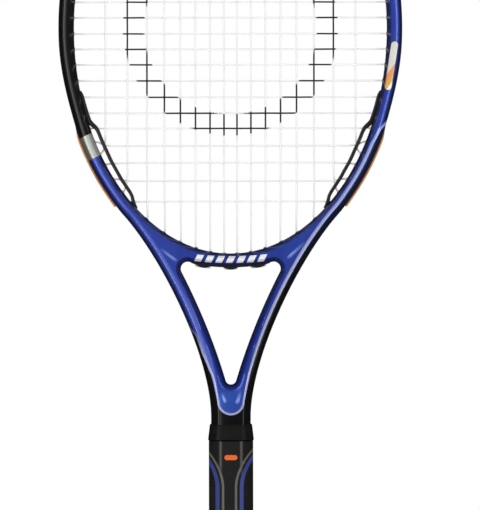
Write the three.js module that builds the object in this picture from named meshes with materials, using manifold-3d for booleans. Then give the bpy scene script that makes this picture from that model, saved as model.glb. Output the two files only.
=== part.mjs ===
// Tennis racket, standing upright: millimetres, +Z from the butt to the head, +Y away from the viewer.
// The origin is the middle of the butt cap's end face.
import * as THREE from 'three';
import { mergeVertices } from 'three/addons/utils/BufferGeometryUtils.js';
import Module from 'manifold-3d';

const wasm = await Module();
wasm.setup();

// Overall and head sizes
const overallLength = 685.8;
const headWidth = 239;
const headLength = 344;
const rimWidth = 11.5;
const rimThinning = 1.5;
const armRootThinning = 0.7;
const guardProud = 1.8;

// Frame depths, front to back, at the head, the throat, the shaft and the core inside the handle
const headDepth = 23;
const throatDepth = 24;
const shaftDepth = 21;
const coreDepth = 14;

// Arms, throat and shaft
const thinStartAngle = -3;
const thinFullAngle = -22;
const thinEndAngle = -44;
const armLeaveAngle = -52;
const armUpperReach = 45;
const armLowerReach = 45;
const armSpan = 16.2;
const armWaist = 4.6;
const shaftWidth = 30.2;
const armDrop = 124.5;
const coreWidth = 19;
const bridgeWidth = 9.8;
const bridgeBow = 4.8;
const throatFootSpan = 15.4;
const throatFootRadius = 3.3;
const throatCornerRadius = 5.4;
const shaftBlendShare = 0.25;

// Edge rounding of the frame, in the racket's plane and in depth
const edgeInset = 4;
const edgeDepth = 6.5;

// Facet counts
const hoopFacets = 52;
const armFacets = 12;
const armInnerFacets = 6;
const edgeFacets = 2;
const bridgeFacets = 3;
const cornerFacets = 4;
const bridgeStripFacets = 24;
const barFacets = 5;
const stringSides = 4;
const barrelSides = 4;

// Octagons of the shaft and of the handle, as shares of the width and the depth
const shaftFaceShare = 0.58;
const gripFaceShare = 0.48;
const sideFaceShare = 0.5;

// Groove round the outside of the hoop, and the strips that lie in it
const seatGap = 0.3;
const grooveDepth = 3.4;
const grooveWidth = 7;
const stripWall = 1;
const lipHeight = 0.5;
const cushionProud = 1.9;
const barrelRadius = 1.6;
const barrelTip = 1.2;
const bendStandOff = 0.8;
const holeClearance = 0.3;
const bridgeStripBase = 0.8;
const bridgeStripProud = 0.9;
const bridgeHumpProud = 2.7;
const bridgeHumpReach = 5.4;
const bridgeStripShare = 0.92;

// String holes that each strip takes on one side, from the top of the hoop down
const bumperHoleCount = 8;
const sideHoleCount = 14;
const cushionHoleCount = 6;
const stripEndMargin = 5;

// String bed
const stringDiameter = 1.3;
const weaveLift = 0.8;
const laneOffset = 1.2;
const loopInset = 0.95;
const tieOffRun = 5;
const sharpestMitreShare = 0.7;
const crossMargin = 2.2;
const stringClearance = 0.8;

// String places, as shares of half the head's width and of half its length
const mainShares = [0.0415, 0.1305, 0.2234, 0.3197, 0.4218, 0.5331, 0.6577, 0.7983];
const crossShares = [
  0.6512, 0.5465, 0.4448, 0.3517, 0.2663, 0.1878, 0.1151, 0.0459, -0.0256, -0.0942,
  -0.1628, -0.2343, -0.307, -0.3779, -0.4453, -0.5227, -0.5971, -0.6785, -0.7692,
];

// Holes that leave their string's own line, by the string's number, in degrees round the hoop
const mainTopAngles = { 7: 37.5 };
const mainFootAngles = { 6: -46.6, 7: -33.8 };
const crossAngles = { 15: -30.4, 16: -37.3, 17: -42.2, 18: -50.8 };

// Suspension bars: angles round the hoop, thickness, depth and distance from the rim
const barShoeStartAngle = -16.2;
const barShoeEndAngle = -25;
const barStartAngle = -27.3;
const barEndAngle = -47.6;
const barFootStartAngle = -49.4;
const barFootEndAngle = -53.4;
const barBendLeadAngle = 1.2;
const barSlotMarginAngle = 4;
const barThickness = 2.6;
const barDepth = 9;
const barStandOff = 2.9;
const barBow = 2;
const barShoeThickness = 2.7;
const barEdgeThickness = 0.8;

// Handle
const neckLength = 19.7;
const coreBottom = 9;
const palletDepth = 26.6;
const palletBottom = 8.6;
const gripThickness = 1.5;
const gripBottom = 5.6;
const gripFlare = 1.5;
const gripFlareLength = 22;
const tapeThickness = 0.6;
const tapeLength = 5.5;
const collarThickness = 1.1;
const collarLength = 12.2;

// Butt cap, its trap door and its staples
const capWall = 1.3;
const capSkirtTop = 25;
const capFloor = 8.2;
const capLip = 5.2;
const capLipProud = 1.3;
const capEdgeRound = 1.2;
const doorHalfWidth = 9;
const doorHalfDepth = 6.2;
const doorLedge = 1.8;
const doorThickness = 2;
const stapleWire = 0.7;
const stapleSpan = 9;
const stapleLeg = 4.5;
const stapleHeight = 17;

// Working allowances
const cutOverrun = 2;
const mergeTolerance = 0.0005;
const halfTurn = Math.PI;
const degree = halfTurn / 180;

const rimHalfWidth = headWidth / 2;
const rimHalfLength = headLength / 2;
const headCentre = overallLength - guardProud - rimWidth - rimHalfLength;
const hoopBottom = headCentre - rimHalfLength;
const bridgeLine = hoopBottom - bridgeWidth;
const shaftTop = hoopBottom - armDrop;
const handleTop = shaftTop - neckLength;

// Finishes
const finish = {
  carbon: { color: 0x2c3796, roughness: 0.25, metalness: 0.4 },
  blackPlastic: { color: 0x17171a, roughness: 0.5, metalness: 0 },
  cushion: { color: 0xd9813f, roughness: 0.6, metalness: 0 },
  string: { color: 0xe6e6e2, roughness: 0.35, metalness: 0 },
  foam: { color: 0xb9a98a, roughness: 0.9, metalness: 0 },
  grip: { color: 0x1d1d20, roughness: 0.75, metalness: 0 },
  tape: { color: 0x2a2a2c, roughness: 0.6, metalness: 0 },
  rubber: { color: 0x101012, roughness: 0.7, metalness: 0 },
  steel: { color: 0xb8bac0, roughness: 0.3, metalness: 1 },
};

const racket = new THREE.Group();
racket.name = 'tennis_racket';

function addPiece(name, geometry, look) {
  geometry.computeVertexNormals();
  const mesh = new THREE.Mesh(geometry, new THREE.MeshStandardMaterial(look));
  mesh.name = name;
  racket.add(mesh);
}

// Closed geometry to a solid that can be cut, and back
function toSolid(geometry) {
  geometry.deleteAttribute('normal');
  geometry.deleteAttribute('uv');
  const merged = mergeVertices(geometry, mergeTolerance);
  const mesh = new wasm.Mesh({
    numProp: 3,
    vertProperties: new Float32Array(merged.attributes.position.array),
    triVerts: new Uint32Array(merged.index.array),
  });
  return new wasm.Manifold(mesh);
}

function toGeometry(solid) {
  const mesh = solid.getMesh();
  const geometry = new THREE.BufferGeometry();
  geometry.setAttribute('position', new THREE.BufferAttribute(mesh.vertProperties, 3));
  geometry.setIndex(new THREE.BufferAttribute(mesh.triVerts, 1));
  return geometry;
}

// A flat outline in the racket's plane, made thick from front to back about the string plane
function plate(outline, depth) {
  const geometry = new THREE.ExtrudeGeometry(new THREE.Shape(outline), { depth, bevelEnabled: false });
  geometry.translate(0, 0, -depth / 2);
  geometry.rotateX(halfTurn / 2);
  return toSolid(geometry);
}

// A straight bar between two points, with one flat side facing front
function rod(from, to, radius, sides) {
  const axis = to.clone().sub(from);
  const turned = halfTurn / sides;
  const geometry = new THREE.CylinderGeometry(radius, radius, axis.length(), sides, 1, false, turned);
  const across = new THREE.Vector3(0, 1, 0).cross(axis).normalize();
  const along = axis.clone().normalize();
  const turn = new THREE.Matrix4().makeBasis(across, along, across.clone().cross(along));
  geometry.applyMatrix4(turn);
  const middle = from.clone().add(to).multiplyScalar(0.5);
  geometry.translate(middle.x, middle.y, middle.z);
  return toSolid(geometry);
}

// Rings of equal length joined into one closed body: with ends, or round into itself
function ringBody(rings, loops = false) {
  const count = rings[0].length;
  const positions = rings.flat().flatMap((point) => [point.x, point.y, point.z]);
  const faces = [];
  const spans = loops ? rings.length : rings.length - 1;
  for (let ring = 0; ring < spans; ring += 1) {
    const next = (ring + 1) % rings.length;
    for (let side = 0; side < count; side += 1) {
      const beside = (side + 1) % count;
      const here = ring * count;
      const there = next * count;
      faces.push(here + side, here + beside, there + beside);
      faces.push(here + side, there + beside, there + side);
    }
  }
  if (!loops) {
    const last = (rings.length - 1) * count;
    for (let side = 1; side < count - 1; side += 1) {
      faces.push(0, side + 1, side);
      faces.push(last, last + side, last + side + 1);
    }
  }
  const geometry = new THREE.BufferGeometry();
  geometry.setAttribute('position', new THREE.Float32BufferAttribute(positions, 3));
  geometry.setIndex(faces);
  return geometry;
}

// A tube of few sides through a list of points, with mitred corners
function stringTube(points, radius, sides) {
  const front = new THREE.Vector3(0, -1, 0);
  const rings = points.map((point, index) => {
    const before = points[Math.max(index - 1, 0)];
    const after = points[Math.min(index + 1, points.length - 1)];
    const arriving = point.clone().sub(before).normalize();
    const leaving = after.clone().sub(point).normalize();
    const tangent = arriving.clone().add(leaving).normalize();
    const outward = front.clone().addScaledVector(tangent, -front.dot(tangent)).normalize();
    const across = tangent.clone().cross(outward);
    const isEnd = index === 0 || index === points.length - 1;
    const mitre = isEnd ? 1 : 1 / Math.max(tangent.dot(leaving), sharpestMitreShare);
    const ring = [];
    for (let side = 0; side < sides; side += 1) {
      const angle = (side / sides) * 2 * halfTurn;
      const offset = outward.clone().multiplyScalar(Math.cos(angle) * radius);
      offset.addScaledVector(across, Math.sin(angle) * radius * mitre);
      ring.push(point.clone().add(offset));
    }
    return ring;
  });
  return ringBody(rings);
}

// Eight corners of a handle-like octagon at one height
function octagon(halfWidth, halfDepth, height, faceShare) {
  const face = halfWidth * faceShare;
  const side = halfDepth * sideFaceShare;
  const corners = [
    [face, -halfDepth], [halfWidth, -side], [halfWidth, side], [face, halfDepth],
    [-face, halfDepth], [-halfWidth, side], [-halfWidth, -side], [-face, -halfDepth],
  ];
  return corners.map(([x, y]) => new THREE.Vector3(x, y, height));
}

// The hoop's inner face is an ellipse: a point on it, or off it by a distance along its normal
function rimNormal(angle) {
  const across = Math.cos(angle * degree) / rimHalfWidth;
  const along = Math.sin(angle * degree) / rimHalfLength;
  return new THREE.Vector2(across, along).normalize();
}

function rimPoint(angle, offset = 0) {
  const point = new THREE.Vector2(
    rimHalfWidth * Math.cos(angle * degree),
    headCentre + rimHalfLength * Math.sin(angle * degree),
  );
  return point.addScaledVector(rimNormal(angle), offset);
}

// The tube's width round the hoop: slimmer low on both sides, where the cushion strips lie
function rimWidthAt(angle) {
  const { smoothstep } = THREE.MathUtils;
  const thinned = smoothstep(thinStartAngle - angle, 0, thinStartAngle - thinFullAngle);
  const regained = smoothstep(thinEndAngle - angle, 0, thinEndAngle - armLeaveAngle);
  return rimWidth - rimThinning * thinned + (rimThinning - armRootThinning) * regained;
}

// Right outer edge of the frame, from the top of the hoop down the arm to the shaft
function rightEdge() {
  const points = [];
  const steps = hoopFacets / 2;
  for (let step = 0; step < steps; step += 1) {
    const angle = 90 + (armLeaveAngle - 90) * (step / steps);
    points.push(rimPoint(angle, rimWidthAt(angle)));
  }
  const leave = rimPoint(armLeaveAngle, rimWidthAt(armLeaveAngle));
  const normal = rimNormal(armLeaveAngle);
  const upper = leave.clone().addScaledVector(new THREE.Vector2(normal.y, -normal.x), armUpperReach);
  const foot = new THREE.Vector2(shaftWidth / 2, shaftTop);
  const lower = new THREE.Vector2(shaftWidth / 2, shaftTop + armLowerReach);
  const arm = new THREE.CubicBezierCurve(leave, upper, lower, foot);
  points.push(...arm.getPoints(armFacets));
  return points;
}

const rightSide = rightEdge();

// The outer edge as a run of places measured from the top of the hoop, right side positive
const edgeRuns = [0];
for (let index = 1; index < rightSide.length; index += 1) {
  edgeRuns.push(edgeRuns[index - 1] + rightSide[index].distanceTo(rightSide[index - 1]));
}
const edgeInwards = rightSide.map((point, index) => {
  if (index === 0) return new THREE.Vector2(0, -1);
  const after = rightSide[Math.min(index + 1, rightSide.length - 1)];
  const along = after.clone().sub(rightSide[index - 1]).normalize();
  return new THREE.Vector2(along.y, -along.x);
});

function edgeAt(run, inset = 0) {
  const distance = Math.abs(run);
  let index = 1;
  while (index < edgeRuns.length - 1 && edgeRuns[index] < distance) index += 1;
  const share = (distance - edgeRuns[index - 1]) / (edgeRuns[index] - edgeRuns[index - 1]);
  const point = rightSide[index - 1].clone().lerp(rightSide[index], share);
  point.addScaledVector(edgeInwards[index - 1].clone().lerp(edgeInwards[index], share), inset);
  return run < 0 ? new THREE.Vector2(-point.x, point.y) : point;
}

// Where the outer edge passes a height on the arm or the lower hoop
function runAtHeight(height) {
  let index = rightSide.length - 1;
  while (index > 1 && rightSide[index - 1].y < height) index -= 1;
  const share = (rightSide[index - 1].y - height) / (rightSide[index - 1].y - rightSide[index].y);
  return edgeRuns[index - 1] + share * (edgeRuns[index] - edgeRuns[index - 1]);
}

// Height at which the outer edge of the arm stands a distance from the middle
function heightAt(halfWidth) {
  let index = rightSide.length - 1;
  while (index > 1 && rightSide[index - 1].x < halfWidth) index -= 1;
  const low = rightSide[index];
  const high = rightSide[index - 1];
  return THREE.MathUtils.mapLinear(halfWidth, low.x, high.x, low.y, high.y);
}

// A band along the outer edge between two places and two depths below the surface
function edgeBand(startRun, endRun, outerInset, innerInset) {
  const within = edgeRuns.flatMap((run) => (run > 0 ? [-run, run] : [0]))
    .filter((run) => run > startRun && run < endRun)
    .sort((low, high) => low - high);
  const stops = [startRun, ...within, endRun];
  const outer = stops.map((run) => edgeAt(run, outerInset));
  const inner = stops.map((run) => edgeAt(run, innerInset)).reverse();
  return outer.concat(inner);
}

// Throat opening: the bridge's lower edge above, the arms' inner edges at the sides
const throatHalfWidth = edgeAt(runAtHeight(bridgeLine)).x - armSpan;

function bridgeEdge(x) {
  return new THREE.Vector2(x, bridgeLine + bridgeBow * (x / throatHalfWidth) ** 2);
}

// Points round part of a circle
function arc(x, y, radius, fromAngle, toAngle) {
  const points = [];
  for (let step = 0; step <= cornerFacets; step += 1) {
    const angle = fromAngle + ((toAngle - fromAngle) * step) / cornerFacets;
    points.push(new THREE.Vector2(x + radius * Math.cos(angle), y + radius * Math.sin(angle)));
  }
  return points;
}

function throatOutline() {
  const cornerX = throatHalfWidth - throatCornerRadius;
  const cornerY = bridgeEdge(cornerX).y - throatCornerRadius;
  const footCentre = heightAt(throatFootSpan + throatFootRadius);
  const lean = -Math.atan2(throatHalfWidth - throatFootRadius, cornerY - footCentre);
  const bridge = [];
  for (let step = 0; step < bridgeFacets; step += 1) {
    bridge.push(bridgeEdge((step / bridgeFacets) * cornerX));
  }
  const corner = arc(cornerX, cornerY, throatCornerRadius, halfTurn / 2, lean);
  const foot = arc(0, footCentre, throatFootRadius, lean, -halfTurn / 2);
  const top = corner[corner.length - 1];
  const waist = top.clone().add(foot[0]).multiplyScalar(0.5).sub(new THREE.Vector2(armWaist, 0));
  const side = new THREE.QuadraticBezierCurve(top, waist, foot[0]).getPoints(armInnerFacets).slice(1, -1);
  const right = bridge.concat(corner, side, foot);
  const left = right.slice(1, -1).reverse().map((point) => new THREE.Vector2(-point.x, point.y));
  return right.concat(left);
}

const throat = throatOutline();

// Depth of the frame at a height, from stations down the racket
function frameDepthAt(height) {
  const stations = [
    [0, shaftDepth], [shaftTop, shaftDepth],
    [hoopBottom, throatDepth], [headCentre, headDepth], [overallLength, headDepth],
  ];
  let index = 1;
  while (index < stations.length - 1 && stations[index][0] < height) index += 1;
  const [low, lowDepth] = stations[index - 1];
  const [high, highDepth] = stations[index];
  const share = Math.min(Math.max((height - low) / (high - low), 0), 1);
  return lowDepth + (highDepth - lowDepth) * share;
}

function frameBlank() {
  const right = rightSide.concat([new THREE.Vector2(shaftWidth / 2, handleTop)]);
  const left = right.slice(1).reverse().map((point) => new THREE.Vector2(-point.x, point.y));
  const shape = new THREE.Shape(right.concat(left).reverse());
  const hoop = [];
  for (let step = 0; step < hoopFacets; step += 1) hoop.push(rimPoint((360 * step) / hoopFacets));
  shape.holes.push(new THREE.Path(hoop), new THREE.Path(throat));
  const geometry = new THREE.ExtrudeGeometry(shape, {
    depth: headDepth - 2 * edgeDepth,
    bevelThickness: edgeDepth,
    bevelSize: edgeInset,
    bevelOffset: -edgeInset,
    bevelSegments: edgeFacets,
  });
  geometry.translate(0, 0, edgeDepth - headDepth / 2);
  geometry.rotateX(halfTurn / 2);
  shapeDepth(geometry.attributes.position);
  const core = ringBody([
    octagon(coreWidth / 2, coreDepth / 2, coreBottom, shaftFaceShare),
    octagon(coreWidth / 2, coreDepth / 2, handleTop + 2 * edgeInset, shaftFaceShare),
  ]);
  return toSolid(geometry).add(toSolid(core));
}

// Gives the blank its depth at each height, and its octagon from the shaft down
function shapeDepth(position) {
  const blendTop = shaftTop + armLowerReach * shaftBlendShare;
  for (let index = 0; index < position.count; index += 1) {
    const height = position.getZ(index);
    const depth = frameDepthAt(height);
    const y = (position.getY(index) * depth) / headDepth;
    position.setY(index, y);
    if (height > blendTop || height < handleTop - stringDiameter) continue;
    const blend = Math.min((blendTop - height) / (blendTop - shaftTop), 1);
    const halfDepth = depth / 2;
    const sideFace = halfDepth * sideFaceShare;
    const beyond = Math.max(Math.abs(y) - sideFace, 0) / (halfDepth - sideFace);
    const widest = edgeHalfWidth(height);
    const octagonX = widest * (1 - beyond * (1 - shaftFaceShare));
    const x = position.getX(index);
    const target = THREE.MathUtils.lerp(Math.abs(x), Math.min(octagonX, widest), blend);
    position.setX(index, Math.sign(x) * target);
  }
}

function edgeHalfWidth(height) {
  return height < shaftTop ? shaftWidth / 2 : edgeAt(runAtHeight(height)).x;
}

// Where a hole from the rim comes out: along the rim's normal, or straight down through the bridge
function outletOf(angle, inThroat) {
  const from = rimPoint(angle);
  const along = inThroat ? new THREE.Vector2(0, -1) : rimNormal(angle);
  const far = from.clone().addScaledVector(along, headLength);
  const outline = inThroat ? throat.concat([throat[0]]) : rightSide;
  let nearest = null;
  for (let index = 1; index < outline.length; index += 1) {
    const hit = crossingOf(from, far, outline[index - 1], outline[index]);
    if (hit && (nearest === null || hit.distanceTo(from) < nearest.distanceTo(from))) nearest = hit;
  }
  return { from, point: nearest, along };
}

function crossingOf(a, b, c, d) {
  const r = b.clone().sub(a);
  const s = d.clone().sub(c);
  const area = r.cross(s);
  if (area === 0) return null;
  const reach = c.clone().sub(a).cross(s) / area;
  const share = c.clone().sub(a).cross(r) / area;
  const hits = reach > 0 && reach < 1 && share >= 0 && share <= 1;
  return hits ? a.clone().addScaledVector(r, reach) : null;
}

// One end of one string: the grommet's tip inside the hoop and the string's corner in the groove
function stringEnd(angle, mirrored, lane, inThroat) {
  const { from, point, along } = outletOf(angle, inThroat);
  const tip = from.clone().addScaledVector(along, -barrelTip);
  const bend = from.clone().addScaledVector(along, -barrelTip - bendStandOff);
  const depth = inThroat ? -(seatGap + bridgeStripBase + stringDiameter / 2 + seatGap) : loopInset;
  const corner = point.clone().addScaledVector(along, -depth);
  const bedded = inThroat ? seatGap + bridgeStripBase / 2 : seatGap + stripWall / 2 - grooveDepth;
  const seat = point.clone().addScaledVector(along, bedded);
  const side = mirrored ? -1 : 1;
  const place = (flat, y) => new THREE.Vector3(side * flat.x, y, flat.y);
  return {
    inThroat,
    side,
    tip: place(tip, 0),
    bend: place(bend, 0),
    corner: place(corner, lane),
    seat: place(seat, lane),
    run: inThroat ? null : side * runNear(point),
  };
}

function runNear(point) {
  let best = 0;
  let nearest = Infinity;
  for (let run = 0; run < edgeRuns[edgeRuns.length - 1]; run += stringDiameter) {
    const distance = edgeAt(run).distanceTo(point);
    if (distance < nearest) {
      nearest = distance;
      best = run;
    }
  }
  return best;
}

const tipHalfWidth = rimHalfWidth - barrelTip;
const tipHalfLength = rimHalfLength - barrelTip;

const bridgeStripReach = (throatHalfWidth - throatCornerRadius) * bridgeStripShare;

const mains = mainShares.map((share, index) => {
  const offset = rimHalfWidth * share;
  const own = Math.acos(offset / tipHalfWidth) / degree;
  const inThroat = offset + 2 * barrelRadius < bridgeStripReach;
  const ownFoot = inThroat ? Math.acos(share) / degree : own;
  return { offset, inThroat, top: mainTopAngles[index] ?? own, foot: mainFootAngles[index] ?? -ownFoot };
});
const crosses = crossShares.map((share, index) => {
  const height = headCentre + rimHalfLength * share;
  const own = Math.asin((height - headCentre) / tipHalfLength) / degree;
  return { height, angle: crossAngles[index] ?? own };
});

const ends = [];
function makeEnd(angle, mirrored, lane, inThroat = false) {
  const end = stringEnd(angle, mirrored, lane, inThroat);
  ends.push(end);
  return end;
}

const leftRuns = mains.map((main) => ({ ...main, side: -1 })).reverse();
const mainRuns = leftRuns.concat(mains.map((main) => ({ ...main, side: 1 })));
mainRuns.forEach((run) => {
  run.x = run.side * run.offset;
  run.topEnd = makeEnd(run.top, run.side < 0, laneOffset);
  run.footEnd = makeEnd(run.foot, run.side < 0, laneOffset, run.inThroat);
});
crosses.forEach((cross) => {
  cross.leftEnd = makeEnd(cross.angle, true, -laneOffset);
  cross.rightEnd = makeEnd(cross.angle, false, -laneOffset);
});

// Seams between the grommet strips fall midway between two string holes
const holeRuns = ends.filter((end) => end.run > 0).map((end) => end.run).sort((low, high) => low - high);

function seamAfter(holes) {
  return (holeRuns[holes - 1] + holeRuns[holes]) / 2;
}

const bumperEndRun = seamAfter(bumperHoleCount);
const cushionTopRun = seamAfter(bumperHoleCount + sideHoleCount);
const cushionEndRun = seamAfter(bumperHoleCount + sideHoleCount + cushionHoleCount);
const shoulderEndRun = holeRuns[holeRuns.length - 1] + stripEndMargin;

function groupOf(end) {
  const distance = Math.abs(end.run);
  if (end.inThroat) return 'throat';
  if (distance < bumperEndRun) return 'bumper';
  if (distance < cushionTopRun) return 'side';
  return distance < cushionEndRun ? 'cushion' : 'shoulder';
}
ends.forEach((end) => Object.assign(end, { group: groupOf(end) }));

// Two strings cross where both still run inside their grommets' tips
function crossesAt(run, cross) {
  const inWidth = run.offset < cross.rightEnd.tip.x - crossMargin;
  const belowTop = cross.height < run.topEnd.tip.z - crossMargin;
  const aboveFoot = cross.height > run.footEnd.tip.z + crossMargin;
  return inWidth && belowTop && aboveFoot;
}

function lift(mainNumber, crossNumber) {
  return (mainNumber + crossNumber) % 2 === 0 ? weaveLift : -weaveLift;
}

// The loop from one hole to the next lies in the groove, or under the bridge
function loopBetween(from, to) {
  if (from.run === null || to.run === null) return [];
  const middle = edgeAt((from.run + to.run) / 2, loopInset);
  return [new THREE.Vector3(middle.x, from.corner.y, middle.y)];
}

// A cut end is tucked along the groove beyond its last hole
function tieOff(end) {
  const tucked = edgeAt(end.run + Math.sign(end.run) * tieOffRun, loopInset);
  return new THREE.Vector3(tucked.x, end.corner.y, tucked.y);
}

function mainPath() {
  const points = [tieOff(mainRuns[0].footEnd)];
  mainRuns.forEach((run, number) => {
    const upward = number % 2 === 0;
    const woven = [];
    crosses.forEach((cross, row) => {
      if (crossesAt(run, cross)) woven.push(new THREE.Vector3(run.x, -lift(number, row), cross.height));
    });
    if (upward) woven.reverse();
    const first = upward ? run.footEnd : run.topEnd;
    const last = upward ? run.topEnd : run.footEnd;
    points.push(first.corner, first.bend, ...woven, last.bend, last.corner);
    const next = mainRuns[number + 1];
    if (next) points.push(...loopBetween(last, upward ? next.topEnd : next.footEnd));
  });
  points.push(tieOff(mainRuns[mainRuns.length - 1].footEnd));
  return points;
}

function crossPath() {
  const points = [tieOff(crosses[0].leftEnd)];
  crosses.forEach((cross, row) => {
    const rightward = row % 2 === 0;
    const woven = [];
    mainRuns.forEach((run, number) => {
      if (crossesAt(run, cross)) woven.push(new THREE.Vector3(run.x, lift(number, row), cross.height));
    });
    if (!rightward) woven.reverse();
    const first = rightward ? cross.leftEnd : cross.rightEnd;
    const last = rightward ? cross.rightEnd : cross.leftEnd;
    points.push(first.corner, first.bend, ...woven, last.bend, last.corner);
    const next = crosses[row + 1];
    if (next) points.push(...loopBetween(last, rightward ? next.rightEnd : next.leftEnd));
  });
  points.push(tieOff(crosses[crosses.length - 1].rightEnd));
  return points;
}

// Holes through the frame, one for each grommet barrel
const barrelHoleRadius = (barrelRadius + holeClearance) / Math.cos(halfTurn / barrelSides);
const stringHoleRadius = (stringDiameter + stringClearance) / 2 / Math.cos(halfTurn / barrelSides);
const barrelCorner = barrelRadius / Math.cos(halfTurn / barrelSides);

function stretch(from, to, beyondFrom, beyondTo) {
  const along = to.clone().sub(from).normalize();
  return [from.clone().addScaledVector(along, -beyondFrom), to.clone().addScaledVector(along, beyondTo)];
}

function holesOf(end, beyondSeat, radius) {
  const [from, to] = stretch(end.tip, end.seat, cutOverrun, beyondSeat);
  return rod(from, to, radius, barrelSides);
}

const frameHoles = ends.map((end) => holesOf(end, cutOverrun, barrelHoleRadius));
const stringHoles = ends.map((end) => holesOf(end, 2 * cutOverrun, stringHoleRadius));
const barrels = ends.map((end) => rod(end.tip, end.seat, barrelCorner, barrelSides));

const grooveEnd = shoulderEndRun + seatGap;
const groove = plate(edgeBand(-grooveEnd, grooveEnd, -cutOverrun, grooveDepth), grooveWidth);
const frame = frameBlank().subtract(groove).subtract(wasm.Manifold.union(frameHoles));
addPiece('frame', toGeometry(frame), finish.carbon);

// Grommet strips: a channel in the groove, with one barrel through the rim for each string end
function grommetStrip(startRun, endRun, proud, group, side) {
  const floor = grooveDepth - seatGap;
  const width = grooveWidth - 2 * seatGap;
  const channel = 2 * laneOffset + stringDiameter + stringClearance;
  const body = plate(edgeBand(startRun, endRun, -proud, floor), width);
  const cut = plate(
    edgeBand(startRun - cutOverrun, endRun + cutOverrun, -proud - cutOverrun, floor - stripWall),
    channel,
  );
  return dressStrip(body.subtract(cut), group, side);
}

function dressStrip(strip, group, side) {
  let dressed = strip;
  ends.forEach((end, index) => {
    if (end.group !== group || (side !== 0 && end.side !== side)) return;
    dressed = dressed.add(barrels[index]);
  });
  ends.forEach((end, index) => {
    if (end.group !== group || (side !== 0 && end.side !== side)) return;
    dressed = dressed.subtract(stringHoles[index]);
  });
  return dressed;
}

const stripGap = seatGap / 2;
const sideStart = bumperEndRun + stripGap;
const bumper = grommetStrip(stripGap - bumperEndRun, bumperEndRun - stripGap, guardProud, 'bumper', 0);
addPiece('head_bumper_guard', toGeometry(bumper), finish.blackPlastic);
for (const [word, side] of [['right', 1], ['left', -1]]) {
  const strip = (from, to, proud, group) => {
    const [start, end] = side > 0 ? [from, to] : [-to, -from];
    return toGeometry(grommetStrip(start, end, proud, group, side));
  };
  const sideStrip = strip(sideStart, cushionTopRun - stripGap, -lipHeight, 'side');
  addPiece(`side_grommet_strip_${word}`, sideStrip, finish.blackPlastic);
  const cushion = strip(cushionTopRun + stripGap, cushionEndRun - stripGap, cushionProud, 'cushion');
  addPiece(`cushion_strip_${word}`, cushion, finish.cushion);
  const shoulder = strip(cushionEndRun + stripGap, shoulderEndRun - stripGap, -lipHeight, 'shoulder');
  addPiece(`shoulder_grommet_strip_${word}`, shoulder, finish.blackPlastic);
}

// Throat strip: follows the bridge's lower edge, with humps beside the string loops
function bridgeStripOutline(top, drop) {
  const humps = [0, (mains[1].offset + mains[2].offset) / 2];
  const outline = [];
  for (let step = 0; step <= bridgeStripFacets; step += 1) {
    const x = bridgeStripReach * (1 - (2 * step) / bridgeStripFacets);
    outline.push(bridgeEdge(x).sub(new THREE.Vector2(0, top)));
  }
  for (let step = 0; step <= bridgeStripFacets; step += 1) {
    const x = bridgeStripReach * ((2 * step) / bridgeStripFacets - 1);
    const near = Math.min(...humps.map((hump) => Math.abs(Math.abs(x) - hump)));
    const swell = Math.max(0, 1 - (near / bridgeHumpReach) ** 2);
    outline.push(bridgeEdge(x).sub(new THREE.Vector2(0, drop(swell))));
  }
  return outline;
}

const stripDrop = (swell) => THREE.MathUtils.lerp(bridgeStripProud, bridgeHumpProud, swell) + seatGap;
const bridgeBody = plate(bridgeStripOutline(seatGap, stripDrop), grooveWidth - 2 * seatGap);
const bridgeChannel = plate(
  bridgeStripOutline(seatGap + bridgeStripBase, () => seatGap + bridgeHumpProud + cutOverrun),
  2 * laneOffset + stringDiameter + stringClearance,
);
const bridgeStrip = dressStrip(bridgeBody.subtract(bridgeChannel), 'throat', 0);
addPiece('throat_grommet_strip', toGeometry(bridgeStrip), finish.blackPlastic);

// Suspension bars: a shoe on the rim, a free span, and a foot back on the rim
function barOutline(side) {
  const shoeMiddle = (barShoeStartAngle + barShoeEndAngle) / 2;
  const footMiddle = (barFootStartAngle + barFootEndAngle) / 2;
  const rimSide = [
    [barShoeStartAngle, seatGap], [shoeMiddle, seatGap], [barShoeEndAngle, seatGap],
    [barStartAngle, barStandOff],
  ];
  const bedSide = [
    [barShoeStartAngle, barEdgeThickness],
    [barShoeStartAngle - barBendLeadAngle, barShoeThickness],
    [shoeMiddle, barShoeThickness + seatGap],
    [barShoeEndAngle + barBendLeadAngle, barShoeThickness + seatGap],
    [barStartAngle + barBendLeadAngle, barStandOff + barThickness],
  ];
  for (let step = 1; step <= barFacets; step += 1) {
    const share = step / barFacets;
    const angle = barStartAngle + (barEndAngle - barStartAngle) * share;
    const standOff = barStandOff + barBow * Math.sin(halfTurn * share);
    rimSide.push([angle, standOff]);
    bedSide.push([angle, standOff + barThickness]);
  }
  rimSide.push([barFootStartAngle, seatGap], [footMiddle, seatGap], [barFootEndAngle, seatGap]);
  bedSide.push([barFootStartAngle, seatGap + barThickness], [barFootEndAngle, barEdgeThickness]);
  const outline = rimSide.concat(bedSide.reverse());
  return outline.map(([angle, inset]) => {
    const point = rimPoint(angle, -inset);
    return new THREE.Vector2(side * point.x, point.y);
  });
}

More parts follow.
